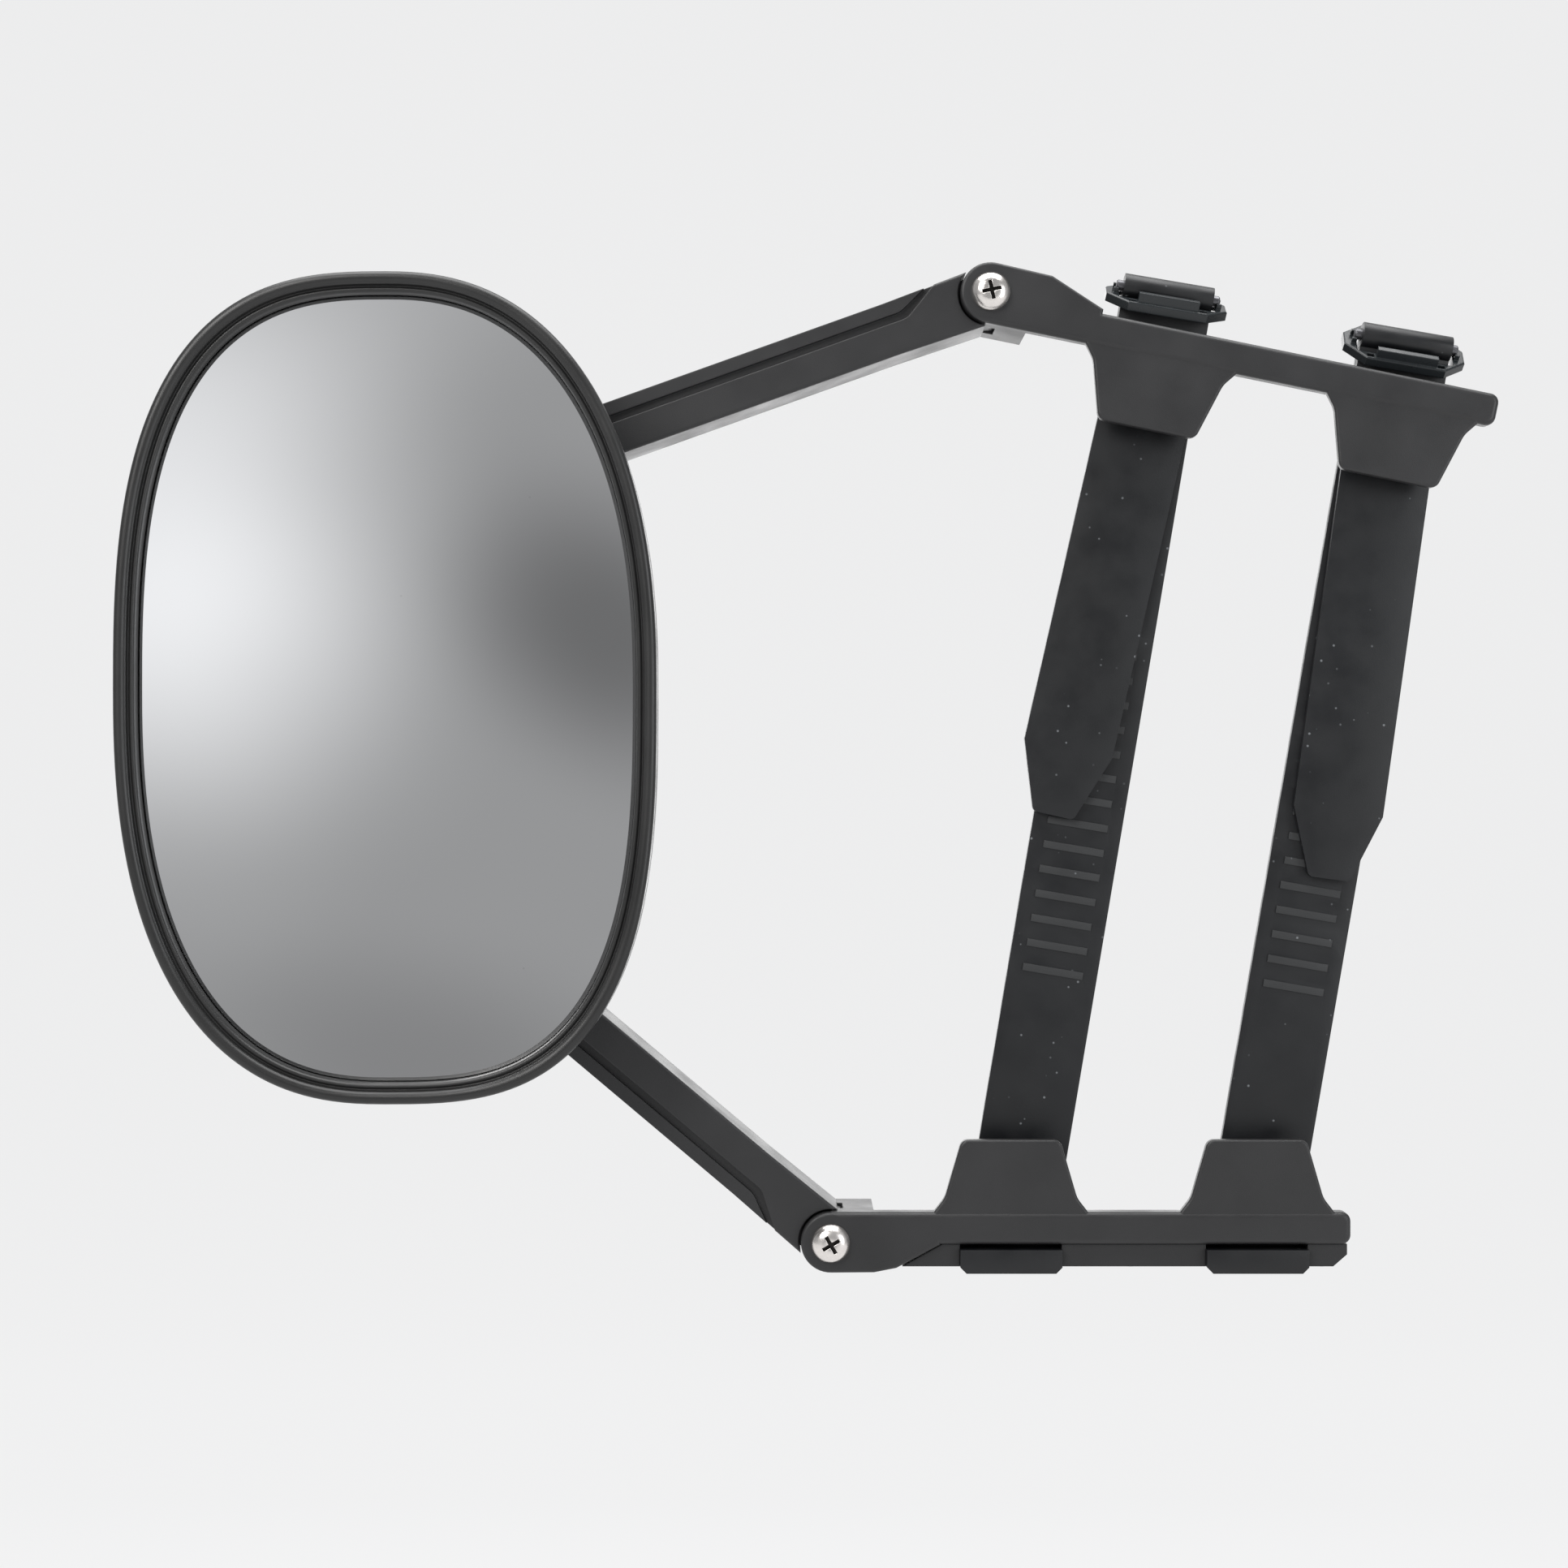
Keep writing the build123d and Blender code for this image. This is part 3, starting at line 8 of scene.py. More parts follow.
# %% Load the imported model
import bpy, bmesh, json
from math import copysign, cos, pi, radians, sin
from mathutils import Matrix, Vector

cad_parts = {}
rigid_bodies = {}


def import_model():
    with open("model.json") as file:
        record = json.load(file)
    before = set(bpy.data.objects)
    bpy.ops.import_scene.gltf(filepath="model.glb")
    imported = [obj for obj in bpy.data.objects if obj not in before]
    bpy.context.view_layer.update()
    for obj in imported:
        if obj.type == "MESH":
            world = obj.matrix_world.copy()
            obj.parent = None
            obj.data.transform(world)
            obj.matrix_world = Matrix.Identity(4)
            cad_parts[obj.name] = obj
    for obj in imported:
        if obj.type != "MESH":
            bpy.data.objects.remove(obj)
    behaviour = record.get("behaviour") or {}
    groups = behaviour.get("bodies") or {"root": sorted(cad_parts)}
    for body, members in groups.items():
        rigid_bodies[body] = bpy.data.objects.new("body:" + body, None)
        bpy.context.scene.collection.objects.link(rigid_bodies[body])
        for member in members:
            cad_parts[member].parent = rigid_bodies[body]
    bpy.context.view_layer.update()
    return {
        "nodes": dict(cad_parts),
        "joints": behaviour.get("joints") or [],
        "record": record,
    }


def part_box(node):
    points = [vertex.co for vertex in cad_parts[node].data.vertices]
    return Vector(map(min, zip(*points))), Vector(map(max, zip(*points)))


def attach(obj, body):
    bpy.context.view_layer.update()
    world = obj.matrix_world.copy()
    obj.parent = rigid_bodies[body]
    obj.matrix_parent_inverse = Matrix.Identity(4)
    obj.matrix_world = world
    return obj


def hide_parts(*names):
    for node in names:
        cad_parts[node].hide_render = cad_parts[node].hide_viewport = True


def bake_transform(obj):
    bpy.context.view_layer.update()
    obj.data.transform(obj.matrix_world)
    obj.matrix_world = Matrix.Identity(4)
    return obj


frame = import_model()
mm = 0.001
nodes = frame["nodes"]
joints = {joint["name"]: joint for joint in frame["joints"]}

# %% [markdown]
# ## The camera
# The mirror is seen straight from the front, from about three quarters of a metre.  Such a short
# distance matters: it shows the lower sides of the top rail and the upper side of the lower arm.

# %% Camera
scene = bpy.context.scene
view_centre = Vector((-0.12185, 0.0, 0.00368))
view_distance = 0.770
view_width = 0.5073
camera_data = bpy.data.cameras.new("front_camera")
camera_data.sensor_width = 36.0
camera_data.lens = camera_data.sensor_width * view_distance / view_width
camera_data.clip_start = 0.05
camera = bpy.data.objects.new("front_camera", camera_data)
camera.location = view_centre + Vector((0, -view_distance, 0))
camera.rotation_euler = (radians(90), 0, 0)
scene.collection.objects.link(camera)
scene.camera = camera
print("camera lens", round(camera_data.lens, 1), "mm")

# %% [markdown]
# ## The studio
# A pale sheet hangs behind the mirror and curves forward into the floor, so no corner shows.  The
# sheet is a plane whose back edge is extruded upwards, and a bevel makes the curve.  The mirror
# hangs above it: on the road a car's door mirror would hold it.

# %% Small helpers for picking and finishing
def only(obj):
    """Deselect everything, then select this one object and make it active."""
    for other in bpy.context.view_layer.objects:
        other.select_set(False)
    obj.select_set(True)
    bpy.context.view_layer.objects.active = obj
    return obj


def edit(obj, kind="VERT"):
    only(obj)
    bpy.ops.object.mode_set(mode="EDIT")
    bpy.ops.mesh.select_mode(type=kind)
    bpy.ops.mesh.select_all(action="DESELECT")


def pick(obj, test, what="faces"):
    """In edit mode, select the faces, edges or vertices that a test says yes to."""
    mesh = bmesh.from_edit_mesh(obj.data)
    count = 0
    for item in getattr(mesh, what):
        item.select_set(bool(test(item)))
        count += item.select
    mesh.select_flush_mode()
    bmesh.update_edit_mesh(obj.data)
    return count


def settle(obj):
    """Put an object's place, turn and size into its mesh, so that it sits at the origin."""
    only(obj)
    bpy.ops.object.transform_apply(location=True, rotation=True, scale=True)


def outwards(obj):
    """Merge doubled points, close up, and turn all faces outwards."""
    edit(obj)
    bpy.ops.mesh.select_all(action="SELECT")
    bpy.ops.mesh.remove_doubles(threshold=0.000005)
    bpy.ops.mesh.normals_make_consistent(inside=False)
    bpy.ops.object.mode_set(mode="OBJECT")


def apply_all(obj):
    only(obj)
    for modifier in list(obj.modifiers):
        bpy.ops.object.modifier_apply(modifier=modifier.name)


def start(name):
    """Name the primitive that was just added, and give its mesh the same name."""
    obj = bpy.context.active_object
    obj.name = name
    obj.data.name = name
    return obj


# %% Backdrop and floor in one sheet
sheet_size = 9.0
wall_height = 5.5
curve_size = 1.2
at_back = sheet_size / 2 - 0.1
bpy.ops.mesh.primitive_plane_add(size=sheet_size, location=(view_centre.x, -1.6, -0.62))
sheet = start("studio_sheet")
edit(sheet, "EDGE")
pick(sheet, lambda e: all(v.co.y > at_back for v in e.verts), "edges")
bpy.ops.mesh.extrude_region_move(TRANSFORM_OT_translate={"value": (0, 0, wall_height)})
bpy.ops.mesh.select_all(action="DESELECT")
pick(sheet, lambda e: all(v.co.y > at_back and abs(v.co.z) < 0.1 for v in e.verts), "edges")
bpy.ops.mesh.bevel(offset=curve_size, segments=16, affect="EDGES")
bpy.ops.object.mode_set(mode="OBJECT")
settle(sheet)
bpy.ops.object.shade_smooth()
print("studio sheet with", len(sheet.data.polygons), "faces")

# %% [markdown]
# ## Finishes
# Real plastic, rubber and steel differ less in colour than in how they scatter light.  Every
# finish here is a Principled shader whose roughness and height are broken up by noise at the true
# scale: a moulded grain of a fifth of a millimetre, hairline scratches, specks of dust.  The Bevel
# node rounds sharp edges in the light only, which moulded plastic always has, and the edges that
# it finds are rubbed a little lighter.

# %% Node helpers
def new_finish(name, colour, roughness, metallic=0.0):
    finish = bpy.data.materials.new(name)
    finish.use_nodes = True
    tree = finish.node_tree
    shader = tree.nodes["Principled BSDF"]
    shader.inputs["Base Color"].default_value = (*colour, 1)
    shader.inputs["Roughness"].default_value = roughness
    shader.inputs["Metallic"].default_value = metallic
    return finish, tree, shader


def node(tree, kind, inputs=(), **settings):
    """Add a node, set its options, and set or link its inputs."""
    made = tree.nodes.new("ShaderNode" + kind)
    for key, value in settings.items():
        setattr(made, key, value)
    for key, value in dict(inputs).items():
        if isinstance(value, bpy.types.NodeSocket):
            tree.links.new(value, made.inputs[key])
        else:
            made.inputs[key].default_value = value
    return made


def noise(tree, scale, detail=3.0, stretch=(1, 1, 1), roughness=0.5):
    """Noise in metres: its features are about 1/scale across, longer where stretch is small."""
    place = node(tree, "TexCoord").outputs["Object"]
    if stretch != (1, 1, 1):
        place = node(tree, "Mapping", {"Vector": place, "Scale": stretch}).outputs["Vector"]
    return node(tree, "TexNoise", {"Vector": place, "Scale": scale, "Detail": detail,
                                   "Roughness": roughness}).outputs["Fac"]


def spread(tree, value, low, high, out_low=0.0, out_high=1.0):
    """Rescale a value from one range to another."""
    return node(tree, "MapRange", {"Value": value, "From Min": low, "From Max": high,
                                   "To Min": out_low, "To Max": out_high}).outputs["Result"]


def blend_colour(tree, factor, first, second):
    mix = node(tree, "Mix", {"Factor": factor}, data_type="RGBA")
    for slot, value in ((6, first), (7, second)):
        if isinstance(value, bpy.types.NodeSocket):
            tree.links.new(value, mix.inputs[slot])
        else:
            mix.inputs[slot].default_value = (*value, 1)
    return mix.outputs[2]


def rounded_edges(tree, radius):
    """A normal that rounds the edges, and a mask that is 1 on them."""
    soft = node(tree, "Bevel", {"Radius": radius}, samples=6).outputs["Normal"]
    sharp = node(tree, "NewGeometry").outputs["Normal"]
    agree = node(tree, "VectorMath", {0: soft, 1: sharp}, operation="DOT_PRODUCT").outputs["Value"]
    return soft, spread(tree, agree, 0.985, 0.80)


def relief(tree, height, depth, normal=None):
    """Bump of a real depth in metres."""
    inputs = {"Height": height, "Distance": depth, "Strength": 1.0}
    if normal is not None:
        inputs["Normal"] = normal
    return node(tree, "Bump", inputs).outputs["Normal"]


# %% Moulded plastic
def moulded_plastic(name, colour, roughness, grain=3600.0, depth=0.00003, edge=0.0006, rubbed=1.9):
    finish, tree, shader = new_finish(name, colour, roughness)
    soft, edges = rounded_edges(tree, edge)
    cloud = noise(tree, 26.0, 4.0)
    lighter = tuple(c * 1.22 for c in colour)
    darker = tuple(c * 0.86 for c in colour)
    body = blend_colour(tree, spread(tree, cloud, 0.3, 0.7), darker, lighter)
    worn = tuple(min(1.0, c * rubbed) for c in colour)
    patches = spread(tree, noise(tree, 140.0, 4.0), 0.35, 0.75)
    rub = node(tree, "Math", {0: edges, 1: patches}, operation="MULTIPLY").outputs["Value"]
    tree.links.new(blend_colour(tree, rub, body, worn), shader.inputs["Base Color"])
    fine = noise(tree, grain, 2.0)
    uneven = spread(tree, noise(tree, 60.0, 5.0), 0.3, 0.7, roughness - 0.07, roughness + 0.07)
    tree.links.new(uneven, shader.inputs["Roughness"])
    tree.links.new(relief(tree, fine, depth, soft), shader.inputs["Normal"])
    return finish


body_plastic = moulded_plastic("body_plastic", (0.020, 0.020, 0.021), 0.42)
rim_plastic = moulded_plastic("rim_plastic", (0.016, 0.016, 0.016), 0.36, depth=0.000012)
cover_plastic = moulded_plastic("cover_plastic", (0.016, 0.016, 0.017), 0.45)
buckle_plastic = moulded_plastic("buckle_plastic", (0.014, 0.017, 0.019), 0.28, depth=0.00001,
                                 edge=0.0005, rubbed=3.2)
print("plastics:", body_plastic.name, rim_plastic.name, cover_plastic.name, buckle_plastic.name)


# %% Rubber with dust on it
def moulded_rubber(name, colour, roughness, dust=0.6):
    """Rubber takes dust: small pale specks, few and sharp, over a cloudy film."""
    finish, tree, shader = new_finish(name, colour, roughness)
    film = spread(tree, noise(tree, 18.0, 5.0, stretch=(1.6, 1, 0.5)), 0.35, 0.8)
    body = blend_colour(tree, film, colour, tuple(c * 1.5 for c in colour))
    place = node(tree, "TexCoord").outputs["Object"]
    cells = node(tree, "TexVoronoi", {"Vector": place, "Scale": 230.0, "Randomness": 1.0})
    near = spread(tree, cells.outputs["Distance"], 0.11, 0.06)
    few = spread(tree, noise(tree, 70.0, 2.0), 0.50, 0.58)
    specks = node(tree, "Math", {0: near, 1: few}, operation="MULTIPLY").outputs["Value"]
    faint = node(tree, "Math", {0: specks, 1: dust}, operation="MULTIPLY").outputs["Value"]
    tree.links.new(blend_colour(tree, faint, body, (0.16, 0.17, 0.18)), shader.inputs["Base Color"])
    uneven = spread(tree, noise(tree, 90.0, 5.0), 0.3, 0.7, roughness - 0.08, roughness + 0.10)
    tree.links.new(uneven, shader.inputs["Roughness"])
    fine = noise(tree, 2600.0, 2.0)
    tree.links.new(relief(tree, fine, 0.00002), shader.inputs["Normal"])
    return finish


strap_rubber = moulded_rubber("strap_rubber", (0.0042, 0.0047, 0.0058), 0.42, dust=0.9)
rib_rubber = moulded_rubber("rib_rubber", (0.019, 0.020, 0.021), 0.55, dust=0.9)
pad_rubber = moulded_rubber("pad_rubber", (0.020, 0.020, 0.020), 0.62, dust=0.3)
adhesive_foam = moulded_rubber("adhesive_foam", (0.06, 0.06, 0.06), 0.8, dust=0.0)
print("rubbers:", strap_rubber.name, pad_rubber.name, adhesive_foam.name)


# %% Steel, nylon and glass
def turned_steel(name, colour, roughness, stretch, edge=0.3 * mm):
    """Steel with fine tool marks, which are long one way and a tenth of a millimetre the other."""
    finish, tree, shader = new_finish(name, colour, roughness, metallic=1.0)
    soft, _ = rounded_edges(tree, edge)
    marks = noise(tree, 900.0, 4.0, stretch=stretch)
    smear = spread(tree, noise(tree, 120.0, 4.0), 0.3, 0.7, roughness - 0.06, roughness + 0.12)
    tree.links.new(smear, shader.inputs["Roughness"])
    tint = blend_colour(tree, spread(tree, marks, 0.3, 0.7), tuple(c * 0.93 for c in colour), colour)
    tree.links.new(tint, shader.inputs["Base Color"])
    tree.links.new(relief(tree, marks, 0.000008, soft), shader.inputs["Normal"])
    return finish


stainless_steel = turned_steel("stainless_steel", (0.86, 0.82, 0.79), 0.20, (1, 1, 1))
zinc_steel = turned_steel("zinc_steel", (0.62, 0.64, 0.66), 0.34, (1, 0.2, 1))
pin_steel = turned_steel("pin_steel", (0.16, 0.16, 0.17), 0.36, (0.2, 1, 1))
bearing_nylon = moulded_plastic("bearing_nylon", (0.62, 0.61, 0.57), 0.42, rubbed=1.1)


def silvered_glass():
    """Flat glass silvered behind: a near perfect mirror with a trace of film and dust on it."""
    finish, tree, shader = new_finish("mirror_glass", (0.93, 0.935, 0.94), 0.012, metallic=1.0)
    wipe = noise(tree, 30.0, 6.0, stretch=(0.4, 1, 1.3), roughness=0.6)
    tree.links.new(spread(tree, wipe, 0.45, 0.85, 0.008, 0.05), shader.inputs["Roughness"])
    place = node(tree, "TexCoord").outputs["Object"]
    cells = node(tree, "TexVoronoi", {"Vector": place, "Scale": 55.0, "Randomness": 1.0})
    specks = spread(tree, cells.outputs["Distance"], 0.022, 0.012, 0.0, 0.25)
    dusty = blend_colour(tree, specks, (0.93, 0.935, 0.94), (0.6, 0.6, 0.6))
    tree.links.new(dusty, shader.inputs["Base Color"])
    shader.inputs["Coat Weight"].default_value = 0.15
    shader.inputs["Coat Roughness"].default_value = 0.02
    return finish


mirror_glass = silvered_glass()
finishes = {"body_plastic": body_plastic, "rim_plastic": rim_plastic, "cover_plastic": cover_plastic,
            "buckle_plastic": buckle_plastic, "strap_rubber": strap_rubber, "pad_rubber": pad_rubber,
            "mirror_glass": mirror_glass, "adhesive_foam": adhesive_foam,
            "bearing_nylon": bearing_nylon, "stainless_steel": stainless_steel,
            "zinc_steel": zinc_steel, "pin_steel": pin_steel}

# %% [markdown]
# ## The cross recesses
# A cross recess holds shadow and a little grime, which the bright steel round it would otherwise
# fill with light.  So shade is painted, with a little grime: the metal turns dark inside a flat oval
# that lies under each domed top.

# %% Paint shade, with a little grime, into the cross recess of both hinge screws
def paint_recess_shade_and_grime(name, radius=3.6 * mm, below=0.7 * mm, depth=2.8 * mm):
    """Paint shade, with a little grime, into the stainless steel inside one screw's recess."""
    low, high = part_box(name)
    tree = stainless_steel.node_tree
    shader = tree.nodes["Principled BSDF"]
    bright = shader.inputs["Base Color"].links[0].from_socket
    centre = ((low.x + high.x) / 2, low.y + below + depth / 2, (low.z + high.z) / 2)
    place = node(tree, "TexCoord").outputs["Object"]
    oval = node(tree, "Mapping", {"Vector": place, "Location": centre,
                                  "Scale": (radius, depth / 2, radius)},
                vector_type="TEXTURE").outputs["Vector"]
    ball = node(tree, "TexGradient", {"Vector": oval}, gradient_type="SPHERICAL").outputs["Fac"]
    # painted shade with a little grime: the steel's colour turns dark inside the recess
    recess_shade_and_grime = blend_colour(tree, spread(tree, ball, 0.0, 0.06), bright, (0.035, 0.032, 0.030))
    tree.links.new(recess_shade_and_grime, shader.inputs["Base Color"])


for screw in ("upper_hinge_screw", "lower_hinge_screw"):
    paint_recess_shade_and_grime(screw)

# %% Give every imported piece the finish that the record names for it
for part in frame["record"]["subparts"]:
    piece = nodes[part["node"]]
    piece.data.materials.clear()
    piece.data.materials.append(finishes[part["material_slot"]])

# %% [markdown]
# ## The rim round the glass
# The rim is one long moulding that follows the head's rounded outline.  Its section is a round
# bead outside, a narrow groove, and a low inner lip that holds the glass.  A lathe can't turn an
# outline that isn't round, but a loop of vertices can be extruded again and again, and each new
# loop scaled towards the head's centre and moved in depth, until the section is complete.  The
# outline is a superellipse: an ellipse with squarer corners, each corner with its own power.

# %% The head's outline
bezel_low, bezel_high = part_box("mirror_bezel")
head = (bezel_low + bezel_high) / 2
half_wide = (bezel_high.x - bezel_low.x) / 2
half_tall = (bezel_high.z - bezel_low.z) / 2
rim_front, rim_back = bezel_low.y, bezel_high.y
corner_powers = (2.35, 2.75, 2.45, 2.95)
loop_points = 192


def outline_loop(name, y):
    """A circle whose vertices are moved onto the head's outline, at a depth of y."""
    bpy.ops.mesh.primitive_circle_add(vertices=loop_points, radius=1.0, fill_type="NOTHING")
    loop = start(name)
    for i, vertex in enumerate(loop.data.vertices):
        turn = 2 * pi * i / loop_points
        power = 2 / corner_powers[4 * i // loop_points]
        c, s = cos(turn), sin(turn)
        x = half_wide * copysign(abs(c) ** power, c)
        z = half_tall * copysign(abs(s) ** power, s)
        vertex.co = (head.x + x, y, head.z + z)
    return loop


def grow_loop(inset_before, inset, y_before, y):
    """Extrude the selected loop to a new inset and depth."""
    across = (half_wide - inset) / (half_wide - inset_before)
    up = (half_tall - inset) / (half_tall - inset_before)
    bpy.ops.mesh.extrude_region_move(TRANSFORM_OT_translate={"value": (0, y - y_before, 0)})
    bpy.ops.transform.resize(value=(across, 1, up), center_override=(head.x, y, head.z))


def follow_section(loop, section):
    """Build a closed ring from a loop by following a section of (inset, depth) points."""
    edit(loop, "VERT")
    bpy.ops.mesh.select_all(action="SELECT")
    if section[0][0] > 0:
        first = section[0][0]
        scale = ((half_wide - first) / half_wide, 1, (half_tall - first) / half_tall)
        bpy.ops.transform.resize(value=scale, center_override=(head.x, 0, head.z))
    for before, after in zip(section, section[1:]):
        grow_loop(before[0], after[0], before[1], after[1])
    bpy.ops.object.mode_set(mode="OBJECT")


# %% Section of the rim, from the back outside, round the bead, to the inner lip
bead = 2.0 * mm
bead_top = rim_front + 0.02 * mm
wall_back = rim_back - 0.1 * mm
section = [(0.0, wall_back), (0.0, rim_front + 7.0 * mm), (0.35 * mm, rim_front + 6.4 * mm),
           (0.35 * mm, rim_front + 5.9 * mm), (0.0, rim_front + 5.3 * mm)]
for step in range(11):
    swing = radians(-12 + 17.5 * step)
    section.append((bead - bead * cos(swing), bead_top + bead - bead * sin(swing)))
section += [(4.0 * mm, rim_front + 2.5 * mm), (4.15 * mm, rim_front + 3.0 * mm),
            (4.5 * mm, rim_front + 3.1 * mm), (4.8 * mm, rim_front + 2.7 * mm),
            (5.2 * mm, rim_front + 2.45 * mm), (5.7 * mm, rim_front + 2.6 * mm),
            (6.1 * mm, rim_front + 3.2 * mm), (6.35 * mm, rim_front + 4.2 * mm),
            (6.4 * mm, rim_front + 6.5 * mm), (3.9 * mm, rim_front + 6.5 * mm),
            (3.9 * mm, wall_back), (0.0, wall_back)]
rim = outline_loop("mirror_rim", section[0][1])
follow_section(rim, section)
outwards(rim)
bpy.ops.object.shade_smooth_by_angle(angle=radians(50))
rim.data.materials.append(rim_plastic)
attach(rim, "head")
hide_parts("mirror_bezel")
print("rim", len(rim.data.polygons), "faces", tuple(round(v / mm, 1) for v in rim.dimensions))

# %% [markdown]
# ## The glass
# The glass is flat, cut to the same outline and ground at its edge.  The ground edge is a narrow
# slope that catches light from the side, which the eye reads as the thickness of the glass, so it
# is worth modelling.  The same loop is used: a wall, the slope, and then the flat face filled in.

# %% The ground glass
glass_inset = 4.2 * mm
glass_low, glass_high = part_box("mirror_glass")
glass_front, glass_back = glass_low.y, glass_high.y
pane = outline_loop("mirror_pane", glass_back)
follow_section(pane, [(glass_inset, glass_back), (glass_inset, glass_front + 0.9 * mm),
                      (6.9 * mm, glass_front + 0.25 * mm), (7.7 * mm, glass_front)])
edit(pane, "EDGE")
bpy.ops.mesh.select_non_manifold()
bpy.ops.mesh.edge_face_add()
bpy.ops.object.mode_set(mode="OBJECT")
outwards(pane)
bpy.ops.object.shade_smooth_by_angle(angle=radians(8))
pane.data.materials.append(mirror_glass)
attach(pane, "head")
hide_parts("mirror_glass")
print("pane", len(pane.data.polygons), "faces")

# %% [markdown]
# ## The rubber straps
# Each strap is moulded in one piece: a head that the lower rail's cover traps, a main run with the
# ladder of ribs that the buckle catches on, a roll round the buckle's pin, and a smooth tail with a
# tapered tip.  Rubber has no sharp edges.  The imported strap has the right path, so a copy of it is
# merged, cleaned to its flat faces, rounded, and cut across every 9 mm so that it can stretch.
# The ribs are a second material: their tops are dusty and so a little paler than the rest.

# %% Straps
span_axis = Vector(joints["clamp_span"]["axis"])
strap_margin = 12.0 * mm
rib_depth = 3.28 * mm


def soft_copy(name, cad_node):
    """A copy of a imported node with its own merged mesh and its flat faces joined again."""
    copy = bpy.data.objects.new(name, nodes[cad_node].data.copy())
    copy.data.name = name
    scene.collection.objects.link(copy)
    copy.data.materials.clear()
    edit(copy)
    bpy.ops.mesh.select_all(action="SELECT")
    bpy.ops.mesh.remove_doubles(threshold=0.000005)
    bpy.ops.mesh.customdata_custom_splitnormals_clear()
    bpy.ops.mesh.dissolve_limited(angle_limit=radians(1.0))
    bpy.ops.object.mode_set(mode="OBJECT")
    return copy


def cut_across(piece, low, high, step):
    """Cut a piece across the span's axis at even steps, so that it can stretch smoothly."""
    edit(piece)
    cuts = int((high - low) / step)
    for i in range(1, cuts):
        bpy.ops.mesh.select_all(action="SELECT")
        middle = (0, 0, low + (high - low) * i / cuts)
        bpy.ops.mesh.bisect(plane_co=middle, plane_no=span_axis)
    bpy.ops.object.mode_set(mode="OBJECT")


def round_edges(piece, width):
    bevel = piece.modifiers.new("rounded", "BEVEL")
    bevel.width = width
    bevel.segments = 3
    bevel.limit_method = "ANGLE"
    bevel.angle_limit = radians(32)
    apply_all(piece)
    bpy.ops.object.shade_smooth_by_angle(angle=radians(38))


def make_strap(side):
    strap = soft_copy(side + "_rubber_strap", side + "_strap")
    round_edges(strap, 0.35 * mm)
    low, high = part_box(side + "_strap")
    cut_across(strap, low.z + strap_margin, high.z - 28.0 * mm, 9.0 * mm)
    strap.data.materials.append(strap_rubber)
    strap.data.materials.append(rib_rubber)
    rib_front = high.y - rib_depth
    ribs = 0
    for face in strap.data.polygons:
        on_rib = abs(face.center.y - rib_front) < 0.15 * mm
        face.material_index = 1 if on_rib else 0
        ribs += on_rib
    print(strap.name, "has", ribs, "faces on its ribs")
    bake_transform(strap)
    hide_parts(side + "_strap")
    print(strap.name, len(strap.data.polygons), "faces")


for side in ("left", "right"):
    make_strap(side)

# %% [markdown]
# ## Light
# A large soft box above lights the upper faces, as the lower arm's shows.  A second one beside the
# camera, high on the left, models the rounded edges, and a weak one on the right fills them.  One
# more stands behind, out of sight, and gives the upper sides their sheen.

# %% Lamps and surroundings
def soft_box(name, place, target, width, height, watts, colour=(1, 1, 1)):
    lamp = bpy.data.lights.new(name, "AREA")
    lamp.shape = "RECTANGLE"
    lamp.size, lamp.size_y = width, height
    lamp.energy = watts
    lamp.color = colour
    box = bpy.data.objects.new(name, lamp)
    box.location = place
    box.rotation_euler = (Vector(target) - Vector(place)).to_track_quat("-Z", "Y").to_euler()
    scene.collection.objects.link(box)
    return box


soft_box("top_box", (-0.10, -0.05, 1.10), (-0.10, 0.0, 0.0), 1.3, 0.9, 17.0)
soft_box("key_box", (-0.95, -1.15, 0.85), (-0.12, 0.0, 0.03), 0.8, 0.8, 15.0, (1.0, 0.985, 0.97))
soft_box("fill_box", (1.15, -1.05, 0.25), (0.0, 0.0, 0.0), 0.7, 1.0, 7.0, (0.96, 0.98, 1.0))
rim_box = soft_box("back_box", (-0.06, 1.30, 0.12), (-0.06, 0.0, 0.12), 1.6, 0.9, 7.5)
rim_box.visible_camera = False
world = bpy.data.worlds.new("studio_room")
world.use_nodes = True
world.node_tree.nodes["Background"].inputs["Color"].default_value = (0.80, 0.81, 0.82, 1)
world.node_tree.nodes["Background"].inputs["Strength"].default_value = 0.42
scene.world = world
scene.view_settings.view_transform = "Standard"

# %% Paint of the studio sheet
paper, paper_tree, paper_shader = new_finish("studio_paper", (0.05, 0.05, 0.05), 0.95)
paper_shader.inputs["Emission Color"].default_value = (0.835, 0.836, 0.84, 1)
paper_shader.inputs["Emission Strength"].default_value = 0.965
fibres = noise(paper_tree, 800.0, 3.0)
paper_tree.links.new(relief(paper_tree, fibres, 0.00003), paper_shader.inputs["Normal"])
sheet.data.materials.append(paper)
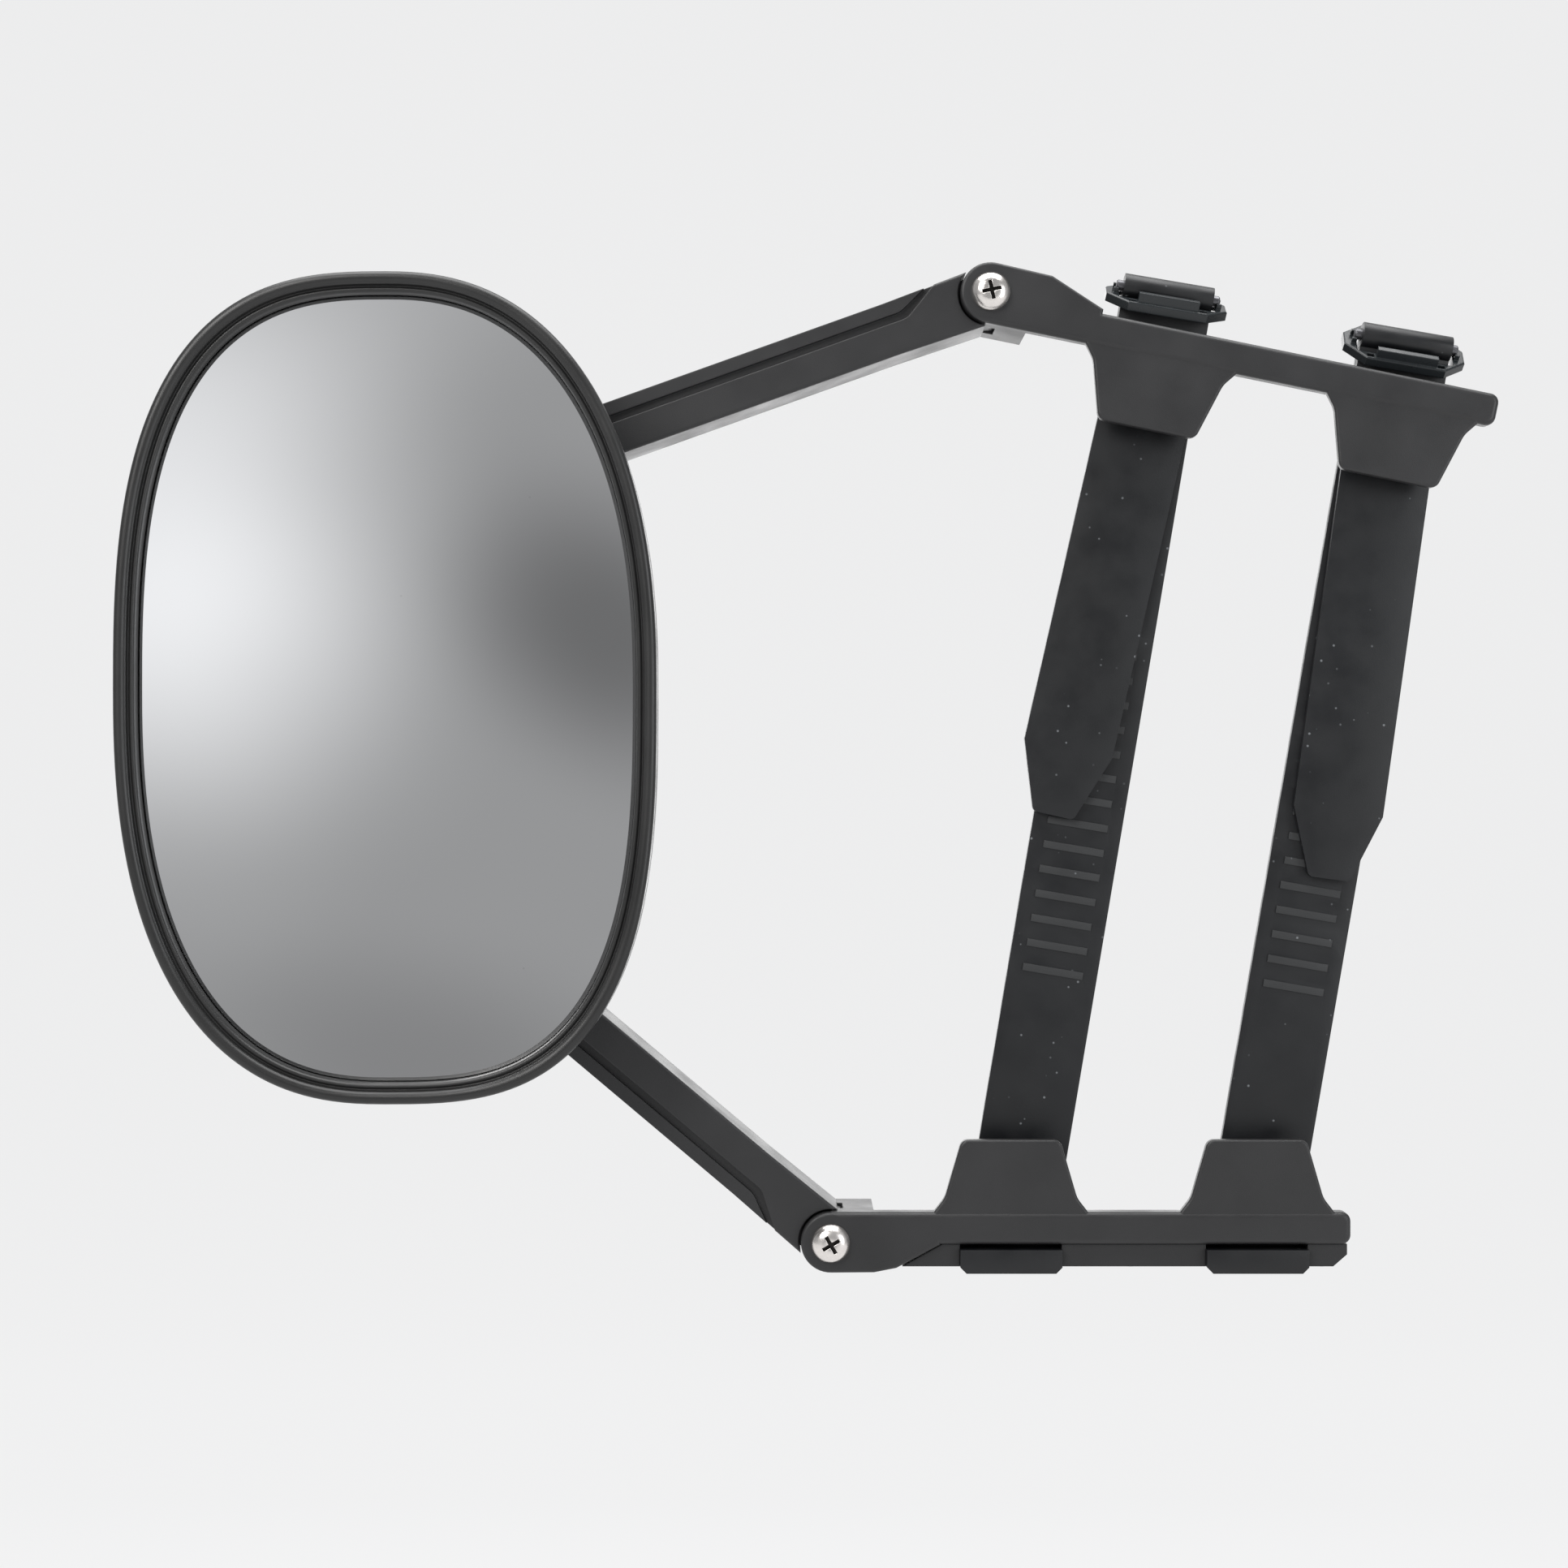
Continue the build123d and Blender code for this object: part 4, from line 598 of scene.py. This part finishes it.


# %% [markdown]
# ## What the glass shows
# A flat mirror shows whatever lies in front of it.  Here that is a painted reflection: a large card
# stands behind the camera, which only reflections can see, and glows grey with soft light on the
# left and a dark patch on the right.  Each oval of light on it is placed by where the camera finds
# it in the glass.

# %% The card that the glass reflects
card_far = 2.40
glass_mid = (glass_low + glass_high) / 2
camera_gap = glass_low.y - camera.location.y
card_gap = glass_low.y + card_far
reach = 1 + card_gap / camera_gap
card_middle = glass_mid + (glass_mid - camera.location) * (reach - 1)
half_width = (glass_high.x - glass_low.x) / 2 * reach
half_height = (glass_high.z - glass_low.z) / 2 * reach
bpy.ops.mesh.primitive_plane_add(size=1.0, location=(card_middle.x, -card_far, card_middle.z),
                                 rotation=(radians(-90), 0, 0))
card = start("reflected_card")
card.scale = (half_width * 5, half_height * 4, 1)
settle(card)
card.visible_camera = False
card.visible_shadow = False
card.visible_diffuse = False


def paint_reflection_oval(tree, before, across, up, wide, tall, turn, amount):
    """Paint one soft oval of reflected light, or take light away, at a place given in half sizes of
    the glass.
    """
    place = node(tree, "TexCoord").outputs["Object"]
    centre = (card_middle.x + across * half_width, -card_far, card_middle.z + up * half_height)
    oval = node(tree, "Mapping", {"Vector": place, "Location": centre,
                                  "Rotation": (0, radians(turn), 0),
                                  "Scale": (wide * half_width, 1.0, tall * half_height)},
                vector_type="TEXTURE").outputs["Vector"]
    ball = node(tree, "TexGradient", {"Vector": oval}, gradient_type="SPHERICAL").outputs["Fac"]
    smooth = node(tree, "MapRange", {"Value": ball, "To Max": amount},
                  interpolation_type="SMOOTHERSTEP").outputs["Result"]
    return node(tree, "Math", {0: before, 1: smooth}, operation="ADD").outputs["Value"]


card_paint = bpy.data.materials.new("card_light")
card_paint.use_nodes = True
card_tree = card_paint.node_tree
card_tree.nodes.clear()
# painted reflection: the card glows though it is no lamp, and only the glass shows it
level = node(card_tree, "Value").outputs["Value"]
level.default_value = 0.33
level = paint_reflection_oval(card_tree, level, -1.05, 0.36, 1.75, 1.00, -25, 0.52)
level = paint_reflection_oval(card_tree, level, -0.30, 1.00, 1.50, 0.60, -15, 0.12)
level = paint_reflection_oval(card_tree, level, 0.85, 0.15, 1.05, 0.50, 40, -0.17)
level = paint_reflection_oval(card_tree, level, -0.50, 0.05, 1.20, 0.60, 35, 0.14)
level = paint_reflection_oval(card_tree, level, -0.8, -0.35, 1.0, 0.5, 25, 0.06)
level = paint_reflection_oval(card_tree, level, 0.15, -0.95, 1.4, 0.45, 10, -0.08)
light = node(card_tree, "Emission", {"Strength": level, "Color": (0.98, 0.985, 1.0, 1)})
node(card_tree, "OutputMaterial", {"Surface": light.outputs["Emission"]})
card.data.materials.append(card_paint)
print("reflected card", tuple(round(v, 2) for v in card.dimensions))
